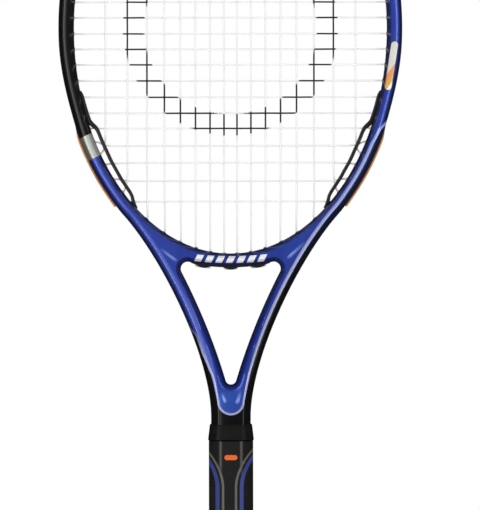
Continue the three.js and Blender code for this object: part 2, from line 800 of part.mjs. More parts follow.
// Strings pass the bars in slots cut along their last straight stretch
function barSlots(side) {
  const slots = [];
  const highest = rimPoint(barShoeStartAngle + barSlotMarginAngle).y;
  const lowest = rimPoint(barFootEndAngle - barSlotMarginAngle).y;
  ends.forEach((end, index) => {
    if (end.side !== side || end.group === 'throat') return;
    if (end.tip.z > highest || end.tip.z < lowest) return;
    slots.push(frameHoles[index]);
    const [inner, outer] = lastCrossings.get(end);
    const [outerFrom, outerTo] = stretch(outer, end.bend, stringDiameter, stringDiameter);
    const [innerFrom, innerTo] = stretch(inner, outer, 0, stringDiameter);
    slots.push(rod(outerFrom, outerTo, stringHoleRadius, barrelSides));
    slots.push(rod(innerFrom, innerTo, stringHoleRadius, barrelSides));
  });
  return wasm.Manifold.union(slots);
}

const mainPoints = mainPath();
const crossPoints = crossPath();

// The last two crossings before each grommet tip
const lastCrossings = new Map();
for (const points of [mainPoints, crossPoints]) {
  points.forEach((point, index) => {
    const end = ends.find((candidate) => candidate.bend === point);
    if (!end) return;
    const step = points[index - 1] === end.corner ? 1 : -1;
    lastCrossings.set(end, [points[index + 2 * step], points[index + step]]);
  });
}

for (const [word, side] of [['right', 1], ['left', -1]]) {
  const bar = plate(barOutline(side), barDepth).subtract(barSlots(side));
  addPiece(`suspension_bar_${word}`, toGeometry(bar), finish.blackPlastic);
}

addPiece('main_string', stringTube(mainPoints, stringDiameter / 2, stringSides), finish.string);
addPiece('cross_string', stringTube(crossPoints, stringDiameter / 2, stringSides), finish.string);

// Handle: two pallets round the core, with a rebate at the butt for the cap's skirt
const palletHalfWidth = shaftWidth / 2;
const palletHalfDepth = palletDepth / 2;
const skirtHalfWidth = palletHalfWidth - capWall - seatGap;
const skirtHalfDepth = palletHalfDepth - capWall - seatGap;

function palletHalf(side) {
  const pocketDepth = coreDepth / 2 + seatGap;
  const pocket = coreWidth / 2 + seatGap;
  const half = (halfWidth, halfDepth, low, high) => {
    const face = halfWidth * gripFaceShare;
    const flank = halfDepth * sideFaceShare;
    const corners = [
      [-halfWidth, stripGap], [-halfWidth, flank], [-face, halfDepth], [face, halfDepth],
      [halfWidth, flank], [halfWidth, stripGap], [pocket, stripGap],
      [pocket, pocketDepth], [-pocket, pocketDepth], [-pocket, stripGap],
    ];
    const shape = new THREE.Shape(corners.map(([x, y]) => new THREE.Vector2(x, side * y)));
    const geometry = new THREE.ExtrudeGeometry(shape, { depth: high - low, bevelEnabled: false });
    geometry.translate(0, 0, low);
    return toSolid(geometry);
  };
  const upper = half(palletHalfWidth, palletHalfDepth, capSkirtTop + seatGap, handleTop - seatGap);
  const lower = half(skirtHalfWidth, skirtHalfDepth, palletBottom, capSkirtTop + capWall);
  return upper.add(lower);
}

// Staples: a crown on the cap's skirt and two legs through it into the pallet
function staple(side, spare) {
  const size = stapleWire + 2 * spare;
  const crown = new THREE.BoxGeometry(stapleSpan + stapleWire + 2 * spare, size, size);
  const surface = palletHalfDepth - stapleWire / 2;
  crown.translate(0, side * surface, stapleHeight);
  let solid = toSolid(crown);
  for (const legSide of [-1, 1]) {
    const leg = new THREE.BoxGeometry(size, stapleLeg + spare, size);
    leg.translate((legSide * stapleSpan) / 2, side * (surface - (stapleLeg + spare) / 2), stapleHeight);
    solid = solid.add(toSolid(leg));
  }
  return solid;
}

const stapleSpare = seatGap / 2;
const stapleCuts = staple(-1, stapleSpare).add(staple(1, stapleSpare));
addPiece('pallet_front', toGeometry(palletHalf(-1).subtract(stapleCuts)), finish.foam);
addPiece('pallet_back', toGeometry(palletHalf(1).subtract(stapleCuts)), finish.foam);
addPiece('staple_front', toGeometry(staple(-1, 0)), finish.steel);
addPiece('staple_back', toGeometry(staple(1, 0)), finish.steel);

// Butt cap: a lip, a skirt under the grip, and a stepped opening for the trap door
const capSpread = gripThickness + gripFlare - seatGap;
const outerRings = [
  [capSpread - capEdgeRound, 0],
  [capSpread + capLipProud, capEdgeRound],
  [capSpread + capLipProud, capLip - capEdgeRound / 2],
  [capSpread + capLipProud / 2, capLip],
  [gripFlare - seatGap, capLip],
  [0, stapleHeight - stapleWire - seatGap],
  [0, capSkirtTop],
  [-capWall, capSkirtTop],
  [-capWall, capFloor],
].map(([grow, height]) => octagon(palletHalfWidth + grow, palletHalfDepth + grow, height, gripFaceShare));
const openingRings = [
  [-doorLedge, capFloor],
  [-doorLedge, doorThickness + seatGap],
  [seatGap, doorThickness + seatGap],
  [seatGap, 0],
].map(([grow, height]) => octagon(doorHalfWidth + grow, doorHalfDepth + grow, height, gripFaceShare));
const capRings = outerRings.concat(openingRings);
const cap = toSolid(ringBody(capRings, true)).subtract(stapleCuts);
addPiece('butt_cap', toGeometry(cap), finish.blackPlastic);

const plugInset = doorLedge + seatGap;
const doorRings = [
  [-seatGap, 0],
  [0, seatGap],
  [0, doorThickness],
  [-plugInset, doorThickness],
  [-plugInset, capFloor - seatGap],
].map(([grow, height]) => octagon(doorHalfWidth + grow, doorHalfDepth + grow, height, gripFaceShare));
addPiece('butt_cap_door', ringBody(doorRings), finish.blackPlastic);

// Grip sleeve: flares over the cap's skirt and hugs the pallets
const gripTop = handleTop + gripThickness;
const gripRings = [
  [gripThickness + gripFlare, gripBottom],
  [gripThickness, gripBottom + gripFlareLength],
  [gripThickness, gripTop],
  [0, gripTop],
  [0, stapleHeight - stapleWire],
  [gripFlare, gripBottom],
].map(([grow, height]) => octagon(
  palletHalfWidth + seatGap + grow,
  palletHalfDepth + seatGap + grow,
  height,
  gripFaceShare,
));
addPiece('grip_sleeve', ringBody(gripRings, true), finish.grip);

// Finishing tape round the shaft, and the rubber collar that slides up off it
const shaftHalfWidth = shaftWidth / 2;
const shaftHalfDepth = shaftDepth / 2;

function shaftSleeve(stations, innerStations) {
  const rings = stations.concat(innerStations).map(([grow, height]) => (
    octagon(shaftHalfWidth + grow, shaftHalfDepth + grow, height, shaftFaceShare)
  ));
  return ringBody(rings, true);
}

const tapeBottom = gripTop + seatGap;
const tapeTop = tapeBottom + tapeLength;
const tapeOuter = seatGap + tapeThickness;
const tape = shaftSleeve(
  [[tapeOuter, tapeBottom], [tapeOuter, tapeTop]],
  [[seatGap, tapeTop], [seatGap, tapeBottom]],
);
addPiece('finishing_tape', tape, finish.tape);

const collarCavity = tapeOuter + seatGap;
const collarOuter = collarCavity + collarThickness;
const collarTop = tapeBottom + collarLength;
const collarStep = tapeTop + seatGap;
const collar = shaftSleeve(
  [
    [collarOuter, tapeBottom],
    [collarOuter, tapeTop + collarThickness],
    [collarOuter - collarThickness / 2, collarTop],
  ],
  [[seatGap, collarTop], [seatGap, collarStep], [collarCavity, collarStep], [collarCavity, tapeBottom]],
);
addPiece('collar', collar, finish.rubber);

export default racket;
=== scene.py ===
import math

import bmesh
import bpy
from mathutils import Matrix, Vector, kdtree
from mathutils.geometry import interpolate_bezier, intersect_line_line_2d


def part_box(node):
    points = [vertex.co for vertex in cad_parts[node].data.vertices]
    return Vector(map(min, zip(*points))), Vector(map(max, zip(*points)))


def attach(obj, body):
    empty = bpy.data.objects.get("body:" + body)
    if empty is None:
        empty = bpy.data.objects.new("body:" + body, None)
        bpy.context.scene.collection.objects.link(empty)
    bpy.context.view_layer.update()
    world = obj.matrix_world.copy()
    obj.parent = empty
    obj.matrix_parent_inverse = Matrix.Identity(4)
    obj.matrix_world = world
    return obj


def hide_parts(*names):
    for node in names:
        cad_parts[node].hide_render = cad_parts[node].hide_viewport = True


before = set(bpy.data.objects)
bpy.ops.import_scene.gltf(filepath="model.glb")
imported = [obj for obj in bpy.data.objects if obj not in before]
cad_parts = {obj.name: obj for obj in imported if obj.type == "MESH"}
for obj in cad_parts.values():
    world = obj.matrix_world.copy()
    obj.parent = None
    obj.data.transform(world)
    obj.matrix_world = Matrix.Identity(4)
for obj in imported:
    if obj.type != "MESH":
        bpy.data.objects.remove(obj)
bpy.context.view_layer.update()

scene = bpy.context.scene

# Camera: level, straight in front, with a long lens that takes in the lower head, the throat and
# the top of the grip, as the photograph does.
photo_height = 510
pixel_size = 0.000763
view_centre = Vector((0.0071, 0, 0.3273))
camera_distance = 3.0
camera_roll = math.radians(0.09)

camera_data = bpy.data.cameras.new("camera")
camera_data.type = "PERSP"
camera_data.sensor_width = 36
camera_data.lens = camera_data.sensor_width * camera_distance / (photo_height * pixel_size)
camera = bpy.data.objects.new("camera", camera_data)
camera.location = view_centre + Vector((0, -camera_distance, 0))
camera.rotation_euler = (math.pi / 2, camera_roll, 0)
scene.collection.objects.link(camera)
scene.camera = camera
scene.view_settings.view_transform = "Standard"

# Floor: a pale board that the butt cap stands on. The camera sees the light that falls on it, so
# it keeps the racket's shadow.
floor_half_size = 1.2
floor_mesh = bmesh.new()
bmesh.ops.create_grid(floor_mesh, x_segments=1, y_segments=1, size=floor_half_size)
floor_data = bpy.data.meshes.new("floor")
floor_mesh.to_mesh(floor_data)
floor_mesh.free()
floor = bpy.data.objects.new("floor", floor_data)
scene.collection.objects.link(floor)
floor_paint = bpy.data.materials.new("pale_floor")
floor_paint.use_nodes = True
floor_shader = floor_paint.node_tree.nodes["Principled BSDF"]
floor_shader.inputs["Base Color"].default_value = (0.86, 0.86, 0.86, 1)
floor_shader.inputs["Roughness"].default_value = 0.9
floor_data.materials.append(floor_paint)
floor.visible_glossy = False

# Light: tall white panels and bright strips at the front left and right, whose reflections run
# down the lacquered tubes, and a soft fill in front and behind, on a white background.
world = bpy.data.worlds.new("studio")
world.use_nodes = True
scene.world = world
room = world.node_tree
background = room.nodes["Background"]
background.inputs["Color"].default_value = (1, 1, 1, 1)
light_path = room.nodes.new("ShaderNodeLightPath")
background_seen = room.nodes.new("ShaderNodeMath")
background_seen.operation = "MAXIMUM"
gloss_level = room.nodes.new("ShaderNodeMapRange")
gloss_level.inputs["To Min"].default_value = 0.30
gloss_level.inputs["To Max"].default_value = 0.05
room_level = room.nodes.new("ShaderNodeMapRange")
room_level.inputs["To Max"].default_value = 1.0
room.links.new(light_path.outputs["Is Camera Ray"], background_seen.inputs[0])
room.links.new(light_path.outputs["Is Transmission Ray"], background_seen.inputs[1])
room.links.new(light_path.outputs["Is Glossy Ray"], gloss_level.inputs["Value"])
room.links.new(gloss_level.outputs["Result"], room_level.inputs["To Min"])
room.links.new(background_seen.outputs[0], room_level.inputs["Value"])
room.links.new(room_level.outputs["Result"], background.inputs["Strength"])


def light_panel(name, place, width, height, power, in_gloss=True, on_matt=True):
    lamp = bpy.data.lights.new(name, "AREA")
    lamp.shape = "RECTANGLE"
    lamp.size = width
    lamp.size_y = height
    lamp.energy = power
    panel = bpy.data.objects.new(name, lamp)
    panel.location = place
    aim = Vector((0, 0, 0.40)) - panel.location
    panel.rotation_euler = aim.to_track_quat("-Z", "Y").to_euler()
    panel.visible_glossy = in_gloss
    panel.visible_diffuse = on_matt
    scene.collection.objects.link(panel)


light_panel("left_panel", Vector((-1.25, -1.35, 0.55)), 1.5, 2.2, 5)
light_panel("right_panel", Vector((1.25, -1.35, 0.55)), 1.5, 2.2, 5)
light_panel("left_sheen", Vector((-1.02, -2.08, 0.55)), 1.05, 2.2, 8, on_matt=False)
light_panel("left_strip", Vector((-1.20, -1.30, 0.55)), 0.16, 2.2, 7.5)
light_panel("right_strip", Vector((1.20, -1.30, 0.55)), 0.16, 2.2, 7.5)
light_panel("front_fill", Vector((0, -3.3, 0.60)), 2.0, 2.0, 40, in_gloss=False)
light_panel("back_fill", Vector((0.3, 3.0, 1.0)), 2.0, 2.0, 40, in_gloss=False)

# Frame: the hoop, throat bridge, arms and shaft are one tube of carbon and resin, moulded in a
# two-part die, then filled, sanded and lacquered. Its edge carries a groove for the grommet strips.
head_half_width = 0.1195
head_half_length = 0.172
hoop_half_depth = 0.0115
rim_width = 0.0115
rim_thinning = 0.0015
low_rim_thinning = 0.0011
arm_root_thinning = 0.0007
head_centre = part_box("frame")[1].z - rim_width - head_half_length
hoop_bottom = head_centre - head_half_length
arm_leave_angle = -52
arm_upper_reach = 0.045
arm_lower_reach = 0.045
arm_span = 0.0162
arm_waist = 0.0046
bridge_width = 0.0098
bridge_bow = 0.0048
bridge_line = hoop_bottom - bridge_width
throat_length = 0.1245
throat_half_depth = 0.012
throat_foot_span = 0.0146
throat_foot_radius = 0.0042
throat_corner_radius = 0.0054
shaft_length = 0.0197
shaft_half_width = 0.0151
shaft_half_depth = 0.0105
shaft_top = hoop_bottom - throat_length
handle_top = shaft_top - shaft_length
core_half_width = 0.0095
core_half_depth = 0.007
core_sunk = 0.004
core_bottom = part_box("frame")[0].z


def rim_normal(angle):
    turn = math.radians(angle)
    across, up = math.cos(turn) / head_half_width, math.sin(turn) / head_half_length
    return Vector((across, 0, up)).normalized()


def rim_point(angle, offset=0.0):
    turn = math.radians(angle)
    across, up = head_half_width * math.cos(turn), head_half_length * math.sin(turn)
    return Vector((across, 0, head_centre + up)) + rim_normal(angle) * offset


def between(value, low, high, at_low, at_high):
    """An eased run from one level to another."""
    share = min(max((value - low) / (high - low), 0), 1)
    share = share * share * (3 - 2 * share)
    return at_low + (at_high - at_low) * share


def rim_width_at(angle):
    """The tube is slimmer low on both sides of the head, where the cushion strips lie."""
    thinned = between(-angle, 3, 22, 0, rim_thinning)
    regained = between(-angle, 22, 30, 0, rim_thinning - low_rim_thinning)
    regained += between(-angle, 44, 52, 0, low_rim_thinning - arm_root_thinning)
    return rim_width - thinned + regained


def outer_edge():
    """Right outer edge, from the top of the hoop down the arm to the shaft."""
    rim_steps = 110
    places = []
    for step in range(rim_steps):
        angle = 90 + (arm_leave_angle - 90) * step / rim_steps
        places.append(rim_point(angle, rim_width_at(angle)))
    leave = rim_point(arm_leave_angle, rim_width_at(arm_leave_angle))
    normal = rim_normal(arm_leave_angle)
    upper = leave + Vector((normal.z, 0, -normal.x)) * arm_upper_reach
    foot = Vector((shaft_half_width, 0, shaft_top))
    lower = foot + Vector((0, 0, arm_lower_reach))
    return places + interpolate_bezier(leave, upper, lower, foot, 44)


right_edge = outer_edge()
edge_runs = [0.0]
for before, after in zip(right_edge, right_edge[1:]):
    edge_runs.append(edge_runs[-1] + (after - before).length)
edge_inwards = [Vector((0, 0, -1))]
for before, after in zip(right_edge, right_edge[2:] + right_edge[-1:]):
    along = (after - before).normalized()
    edge_inwards.append(Vector((along.z, 0, -along.x)))


def edge_at(run, inset=0.0):
    """A place on the outer edge, by its distance from the top of the hoop, right side positive."""
    distance = min(abs(run), edge_runs[-1])
    index = 1
    while index < len(edge_runs) - 1 and edge_runs[index] < distance:
        index += 1
    share = (distance - edge_runs[index - 1]) / (edge_runs[index] - edge_runs[index - 1])
    place = right_edge[index - 1].lerp(right_edge[index], share)
    place += edge_inwards[index - 1].lerp(edge_inwards[index], share) * inset
    return Vector((-place.x, 0, place.z)) if run < 0 else place


def half_width_at(height):
    """Half-width of the arms or shaft at a height below the hoop."""
    for above, below in zip(right_edge, right_edge[1:]):
        if below.z <= height <= above.z and above.z < head_centre:
            share = (above.z - height) / max(above.z - below.z, 1e-9)
            return above.x + (below.x - above.x) * share
    return shaft_half_width


def bridge_edge(x):
    return Vector((x, 0, bridge_line + bridge_bow * (x / throat_half_width) ** 2))


def arc(x, z, radius, start, end, steps):
    turns = [start + (end - start) * step / steps for step in range(steps + 1)]
    return [Vector((x + radius * math.cos(turn), 0, z + radius * math.sin(turn))) for turn in turns]


def throat_edge():
    """Right half of the throat opening: bridge, corner, arm and foot."""
    corner_x = throat_half_width - throat_corner_radius
    corner_z = bridge_edge(corner_x).z - throat_corner_radius
    foot_z = shaft_top
    while half_width_at(foot_z) < throat_foot_span + throat_foot_radius:
        foot_z += 0.0002
    lean = -math.atan2(throat_half_width - throat_foot_radius, corner_z - foot_z)
    bridge_steps = 12
    bridge = [bridge_edge(corner_x * step / bridge_steps) for step in range(bridge_steps)]
    corner = arc(corner_x, corner_z, throat_corner_radius, math.pi / 2, lean, 10)
    foot = arc(0, foot_z, throat_foot_radius, lean, -math.pi / 2, 8)
    waist = (corner[-1] + foot[0]) / 2 - Vector((arm_waist, 0, 0))
    arm = interpolate_bezier(
        corner[-1], corner[-1].lerp(waist, 2 / 3), foot[0].lerp(waist, 2 / 3), foot[0], 30
    )
    return bridge + corner[:-1] + arm + foot[1:]


def mirrored(places):
    """Closes a right half, whose first and last places are on the middle line, into a whole loop."""
    return places + [Vector((-place.x, 0, place.z)) for place in places[-2:0:-1]]


throat_half_width = half_width_at(bridge_line) - arm_span
shaft_foot = [Vector((shaft_half_width, 0, handle_top)), Vector((0, 0, handle_top))]
shaft_steps = 4
shaft_side = [
    right_edge[-1].lerp(shaft_foot[0], step / shaft_steps) for step in range(1, shaft_steps)
]
outer_loop = mirrored(right_edge + shaft_side + shaft_foot)
hoop_steps = 240
hoop_loop = [rim_point(360 * step / hoop_steps) for step in range(hoop_steps)]
throat_right = throat_edge()
throat_loop = mirrored(throat_right)


def loop_normals(loop, into_clockwise):
    """Directions square to a closed loop, to the right of its travel or to the left."""
    normals = []
    for index in range(len(loop)):
        along = (loop[(index + 1) % len(loop)] - loop[index - 1]).normalized()
        side = Vector((along.z, 0, -along.x))
        normals.append(side if into_clockwise else -side)
    return normals


def half_depth_at(height):
    if height > hoop_bottom:
        return between(height, hoop_bottom, head_centre, throat_half_depth, hoop_half_depth)
    return between(height, shaft_top, hoop_bottom, shaft_half_depth, throat_half_depth)


def outer_reach_at(height):
    """How far in from the outer edge the tube's face keeps rising."""
    return between(height, 0.30, 0.38, 0.0081, 0.0062) - between(height, 0.21, 0.24, 0.0018, 0)


def hoop_reach_at(height):
    return between(height, 0.35, 0.42, 0.0036, 0.0027)


def throat_reach_at(height):
    return between(height, 0.25, 0.31, 0.0046, 0.0036)


crown_steps = 10
wall_share = 0.42
inner_edge_power = 0.7
octagon_low, octagon_high = shaft_top + 0.004, shaft_top + 0.05
octagon_wall_share = 0.5
octagon_bevel = 1.12
groove_half_width = 0.0035
groove_depth = 0.0034
groove_end_run = 0.4626
groove_fade = 0.0015


def tube_rings(loop, normals, reach_at, is_outer):
    """Rings round one edge of the frame, from the front face over the wall to the back face. The
    outer edge is round and grooved, the edges of the openings fall away from a crisp line, and
    low on the shaft the tube turns into an octagon."""
    turns = [math.pi / 2 * step / crown_steps for step in range(crown_steps + 1)]
    profile = [(turn, -1) for turn in turns] + [(turn, 1) for turn in reversed(turns)]
    rings = []
    for number, (turn, side) in enumerate(profile):
        inward = 1 - math.sin(turn)
        round_rise = math.cos(turn) if is_outer else inward ** inner_edge_power
        flat_rise = min(1, inward * octagon_bevel)
        ring = []
        for place, normal in zip(loop, normals):
            octagon_share = between(place.z, octagon_low, octagon_high, 1, 0)
            rise = round_rise * (1 - octagon_share) + flat_rise * octagon_share
            wall = wall_share + (octagon_wall_share - wall_share) * octagon_share
            spot = place + normal * reach_at(place.z) * inward
            spot.y = side * half_depth_at(place.z) * (wall + (1 - wall) * rise)
            ring.append(spot)
        rings.append(ring)
        if is_outer and number == crown_steps:
            rings += groove_rings(loop, normals)
    return rings


def groove_rings(loop, normals):
    """The groove's two walls and floor. Past its ends the same rings lie flat in the edge."""
    rings = []
    for depth_share, side in ((0, -1), (1, -1), (1, 1), (0, 1)):
        ring = []
        for place, normal in zip(loop, normals):
            depth = between(
                run_of(place), groove_end_run, groove_end_run + groove_fade, groove_depth, 0
            )
            spot = place + normal * depth * depth_share
            spot.y = side * groove_half_width
            ring.append(spot)
        rings.append(ring)
    return rings


def nearest_finder(places):
    finder = kdtree.KDTree(len(places))
    for index, place in enumerate(places):
        finder.insert(place, index)
    finder.balance()
    return finder


run_finder = nearest_finder(right_edge)


def run_of(place):
    """Distance along the outer edge from the top of the hoop to a place on it."""
    index = run_finder.find(Vector((abs(place.x), 0, place.z)))[1]
    return edge_runs[index] if place.z > handle_top + 0.001 else edge_runs[-1]


def ring_edges(mesh, corners):
    return [mesh.edges.new((corners[index - 1], corners[index])) for index in range(len(corners))]


def extrude_rings(mesh, rings):
    """Draws the first ring and extrudes it to each next one. Returns the first and last edges."""
    order = mesh.verts.layers.int.get("order") or mesh.verts.layers.int.new("order")
    corners = [mesh.verts.new(place) for place in rings[0]]
    for index, corner in enumerate(corners):
        corner[order] = index
    edges = ring_edges(mesh, corners)
    first = edges
    for ring in rings[1:]:
        made = bmesh.ops.extrude_edge_only(mesh, edges=edges)["geom"]
        fresh = {part for part in made if isinstance(part, bmesh.types.BMVert)}
        for corner in fresh:
            corner.co = ring[corner[order]]
        edges = [
            part for part in made
            if isinstance(part, bmesh.types.BMEdge) and all(corner in fresh for corner in part.verts)
        ]
    return first, edges


def finished(name, mesh, material, crease=32):
    """Makes the object, smooth but for creases sharper than an angle."""
    bmesh.ops.recalc_face_normals(mesh, faces=mesh.faces)
    for face in mesh.faces:
        face.smooth = True
    for edge in mesh.edges:
        edge.smooth = edge.calc_face_angle(0) < math.radians(crease)
    order = mesh.verts.layers.int.get("order")
    if order:
        mesh.verts.layers.int.remove(order)
    data = bpy.data.meshes.new(name)
    mesh.to_mesh(data)
    mesh.free()
    data.materials.append(material)
    piece = bpy.data.objects.new(name, data)
    scene.collection.objects.link(piece)
    return piece


def new_material(name):
    material = bpy.data.materials.new(name)
    material.use_nodes = True
    return material, material.node_tree, material.node_tree.nodes["Principled BSDF"]


def link_value(tree, socket, value):
    if isinstance(value, bpy.types.NodeSocket):
        tree.links.new(value, socket)
    else:
        socket.default_value = value


def math_node(tree, operation, first, second=0.0, third=0.0):
    node = tree.nodes.new("ShaderNodeMath")
    node.operation = operation
    for socket, value in zip(node.inputs, (first, second, third)):
        link_value(tree, socket, value)
    return node.outputs[0]


def ramp_node(tree, value, low, high, at_low=0.0, at_high=1.0, smooth=False):
    """A clamped run from one pair of values to another, straight or eased."""
    node = tree.nodes.new("ShaderNodeMapRange")
    node.interpolation_type = "SMOOTHSTEP" if smooth else "LINEAR"
    for socket, level in zip(node.inputs, (value, low, high, at_low, at_high)):
        link_value(tree, socket, level)
    return node.outputs["Result"]


def mix_colour(tree, share, first, second, blend="MIX"):
    node = tree.nodes.new("ShaderNodeMix")
    node.data_type = "RGBA"
    node.blend_type = blend
    first_socket, second_socket, mixed = node.inputs[6], node.inputs[7], node.outputs[2]
    link_value(tree, node.inputs["Factor"], share)
    for socket, value in ((first_socket, first), (second_socket, second)):
        link_value(tree, socket, (*value, 1) if isinstance(value, tuple) else value)
    return mixed


def mix_value(tree, share, first, second):
    node = tree.nodes.new("ShaderNodeMix")
    for name, value in (("Factor", share), ("A", first), ("B", second)):
        tree.links.new(value, node.inputs[name])
    return node.outputs["Result"]


def length_node(tree, first, second):
    return math_node(tree, "SQRT", math_node(
        tree, "ADD", math_node(tree, "MULTIPLY", first, first),
        math_node(tree, "MULTIPLY", second, second),
    ))


def object_axes(tree):
    """The place on the object, whole and as its three numbers."""
    place = tree.nodes.new("ShaderNodeTexCoord").outputs["Object"]
    split = tree.nodes.new("ShaderNodeSeparateXYZ")
    tree.links.new(place, split.inputs[0])
    return place, split.outputs[0], split.outputs[1], split.outputs[2]


def attribute_value(tree, name):
    node = tree.nodes.new("ShaderNodeAttribute")
    node.attribute_name = name
    return node.outputs["Fac"]


def grain_group():
    """Fine unevenness of a moulded or sprayed surface: a height, and a mask of faint scuffs."""
    group = bpy.data.node_groups.new("surface_grain", "ShaderNodeTree")
    face = group.interface
    face.new_socket("Vector", in_out="INPUT", socket_type="NodeSocketVector")
    face.new_socket("Grain Scale", in_out="INPUT", socket_type="NodeSocketFloat")
    face.new_socket("Scuff Scale", in_out="INPUT", socket_type="NodeSocketFloat")
    face.new_socket("Height", in_out="OUTPUT", socket_type="NodeSocketFloat")
    face.new_socket("Scuffs", in_out="OUTPUT", socket_type="NodeSocketFloat")
    inside = group.nodes.new("NodeGroupInput")
    outside = group.nodes.new("NodeGroupOutput")
    grain = group.nodes.new("ShaderNodeTexNoise")
    grain.inputs["Detail"].default_value = 3
    scuff = group.nodes.new("ShaderNodeTexNoise")
    scuff.inputs["Detail"].default_value = 6
    scuff.inputs["Roughness"].default_value = 0.7
    group.links.new(inside.outputs["Vector"], grain.inputs["Vector"])
    group.links.new(inside.outputs["Vector"], scuff.inputs["Vector"])
    group.links.new(inside.outputs["Grain Scale"], grain.inputs["Scale"])
    group.links.new(inside.outputs["Scuff Scale"], scuff.inputs["Scale"])
    group.links.new(grain.outputs["Fac"], outside.inputs["Height"])
    worn = ramp_node(group, scuff.outputs["Fac"], 0.56, 0.70)
    group.links.new(worn, outside.inputs["Scuffs"])
    return group


surface_grain = grain_group()


def grain_node(tree, place, grain_scale, scuff_scale):
    node = tree.nodes.new("ShaderNodeGroup")
    node.node_tree = surface_grain
    tree.links.new(place, node.inputs["Vector"])
    node.inputs["Grain Scale"].default_value = grain_scale
    node.inputs["Scuff Scale"].default_value = scuff_scale
    return node.outputs["Height"], node.outputs["Scuffs"]


def bump_node(tree, height, distance, strength=1.0, normal=None):
    node = tree.nodes.new("ShaderNodeBump")
    node.inputs["Distance"].default_value = distance
    node.inputs["Strength"].default_value = strength
    tree.links.new(height, node.inputs["Height"])
    if normal:
        tree.links.new(normal, node.inputs["Normal"])
    return node.outputs["Normal"]


def line_places(tree, across, up, start, stop):
    """How far along a line on the face a point lies, from 0 to 1, and its two offsets from it."""
    run_across, run_up = stop[0] - start[0], stop[1] - start[1]
    length_squared = run_across ** 2 + run_up ** 2
    from_across = math_node(tree, "SUBTRACT", across, start[0])
    from_up = math_node(tree, "SUBTRACT", up, start[1])
    along = math_node(
        tree, "ADD", math_node(tree, "MULTIPLY", from_across, run_across / length_squared),
        math_node(tree, "MULTIPLY", from_up, run_up / length_squared),
    )
    share = ramp_node(tree, along, 0.0, 1.0)
    off_across = math_node(
        tree, "SUBTRACT", from_across, math_node(tree, "MULTIPLY", share, run_across)
    )
    off_up = math_node(tree, "SUBTRACT", from_up, math_node(tree, "MULTIPLY", share, run_up))
    return along, off_across, off_up


def ridge_height(tree, across, up, start, stop, half_width):
    """A rounded ridge along a line on the face, as a height from 0 to 1 that rises along it."""
    along, off_across, off_up = line_places(tree, across, up, start, stop)
    reach = length_node(tree, off_across, off_up)
    rise = ramp_node(tree, reach, half_width, 0.0, smooth=True)
    fade = math_node(
        tree, "MULTIPLY", ramp_node(tree, along, 0.0, 0.7), ramp_node(tree, along, 1.08, 0.88)
    )
    return math_node(tree, "MULTIPLY", rise, fade)


def blue_coat(tree, y, z, inset):
    """Metallic blue, with painted shade along the faces' edges and a painted reflection on the
    tongue.
    """
    blue = (0.035, 0.072, 0.46)
    edge_shade_blue = (0.007, 0.010, 0.085)
    tongue_reflection_blue = (0.042, 0.110, 0.54)
    # Painted shade: the blue turns deep near the outer edge and the openings, less so in the middle
    # of the walls
    on_face = math_node(
        tree, "MULTIPLY", ramp_node(tree, inset, 0.0014, 0.0032),
        ramp_node(tree, attribute_value(tree, "opening_distance"), 0.0004, 0.0040),
    )
    on_wall = ramp_node(tree, math_node(tree, "ABSOLUTE", y), 0.0030, 0.0050, 0.6, 0.0)
    # Painted reflection: the tongue is painted a lighter, greener blue
    blue_and_tongue_reflection = mix_colour(tree, ramp_node(tree, z, 0.232, 0.220), blue, tongue_reflection_blue)
    return mix_colour(tree, math_node(tree, "MAXIMUM", on_face, on_wall), edge_shade_blue, blue_and_tongue_reflection)


def head_band(tree, x, z, inset, foot, side):
    """A mask of the left of the head, above a line square to the tube and up to near its top."""
    band_lean = -0.45
    level = math_node(tree, "MULTIPLY_ADD", inset, band_lean, z)
    return math_node(
        tree, "MULTIPLY", math_node(tree, "GREATER_THAN", level, foot),
        math_node(tree, "LESS_THAN", x, side),
    )


def moulded_ridges(tree, x, z):
    """Low ridges where the hoop runs into the arms, and in the tongue below the throat."""
    shoulder_half_width, tongue_half_width = 0.0017, 0.0016
    heights = [
        ridge_height(tree, x, z, start, stop, half_width)
        for start, stop, half_width in (
            ((0.0570, 0.3374), (0.0437, 0.3251), shoulder_half_width),
            ((-0.0538, 0.3328), (-0.0413, 0.3231), shoulder_half_width),
            ((0.0079, 0.2245), (0.0044, 0.2142), tongue_half_width),
            ((-0.0066, 0.2230), (-0.0038, 0.2150), tongue_half_width),
        )
    ]
    highest = heights[0]
    for height in heights[1:]:
        highest = math_node(tree, "MAXIMUM", highest, height)
    return highest


def inside_pinstripe(tree, x, z, inset, on_right):
    """Distance inside the pinstripe's line. It comes in from the outer edge low on the right of
    the head and on the left arm, runs down the arms, and rounds a tongue on the shaft."""
    right_line = math_node(
        tree, "ADD", ramp_node(tree, z, 0.4310, 0.4230, -0.0015, 0.0036),
        ramp_node(tree, z, 0.4230, 0.4120, 0.0, 0.0021),
    )
    left_line = math_node(
        tree, "ADD", ramp_node(tree, z, 0.277, 0.266, -0.0014, 0.0032),
        ramp_node(tree, z, 0.252, 0.236, 0.0, 0.0019),
    )
    side_line = mix_value(tree, on_right, left_line, right_line)
    arm_inside = math_node(tree, "SUBTRACT", inset, side_line)
    tongue_centre, tongue_radius, tongue_spread = 0.2158, 0.0095, 0.205
    above = math_node(tree, "SUBTRACT", z, tongue_centre)
    reach = length_node(tree, x, math_node(tree, "MINIMUM", above, 0.0))
    tongue_half = math_node(
        tree, "MULTIPLY_ADD", math_node(tree, "MAXIMUM", above, 0.0), tongue_spread, tongue_radius
    )
    tongue_inside = math_node(tree, "SUBTRACT", tongue_half, reach)
    return mix_value(tree, ramp_node(tree, z, 0.230, 0.240), tongue_inside, arm_inside)


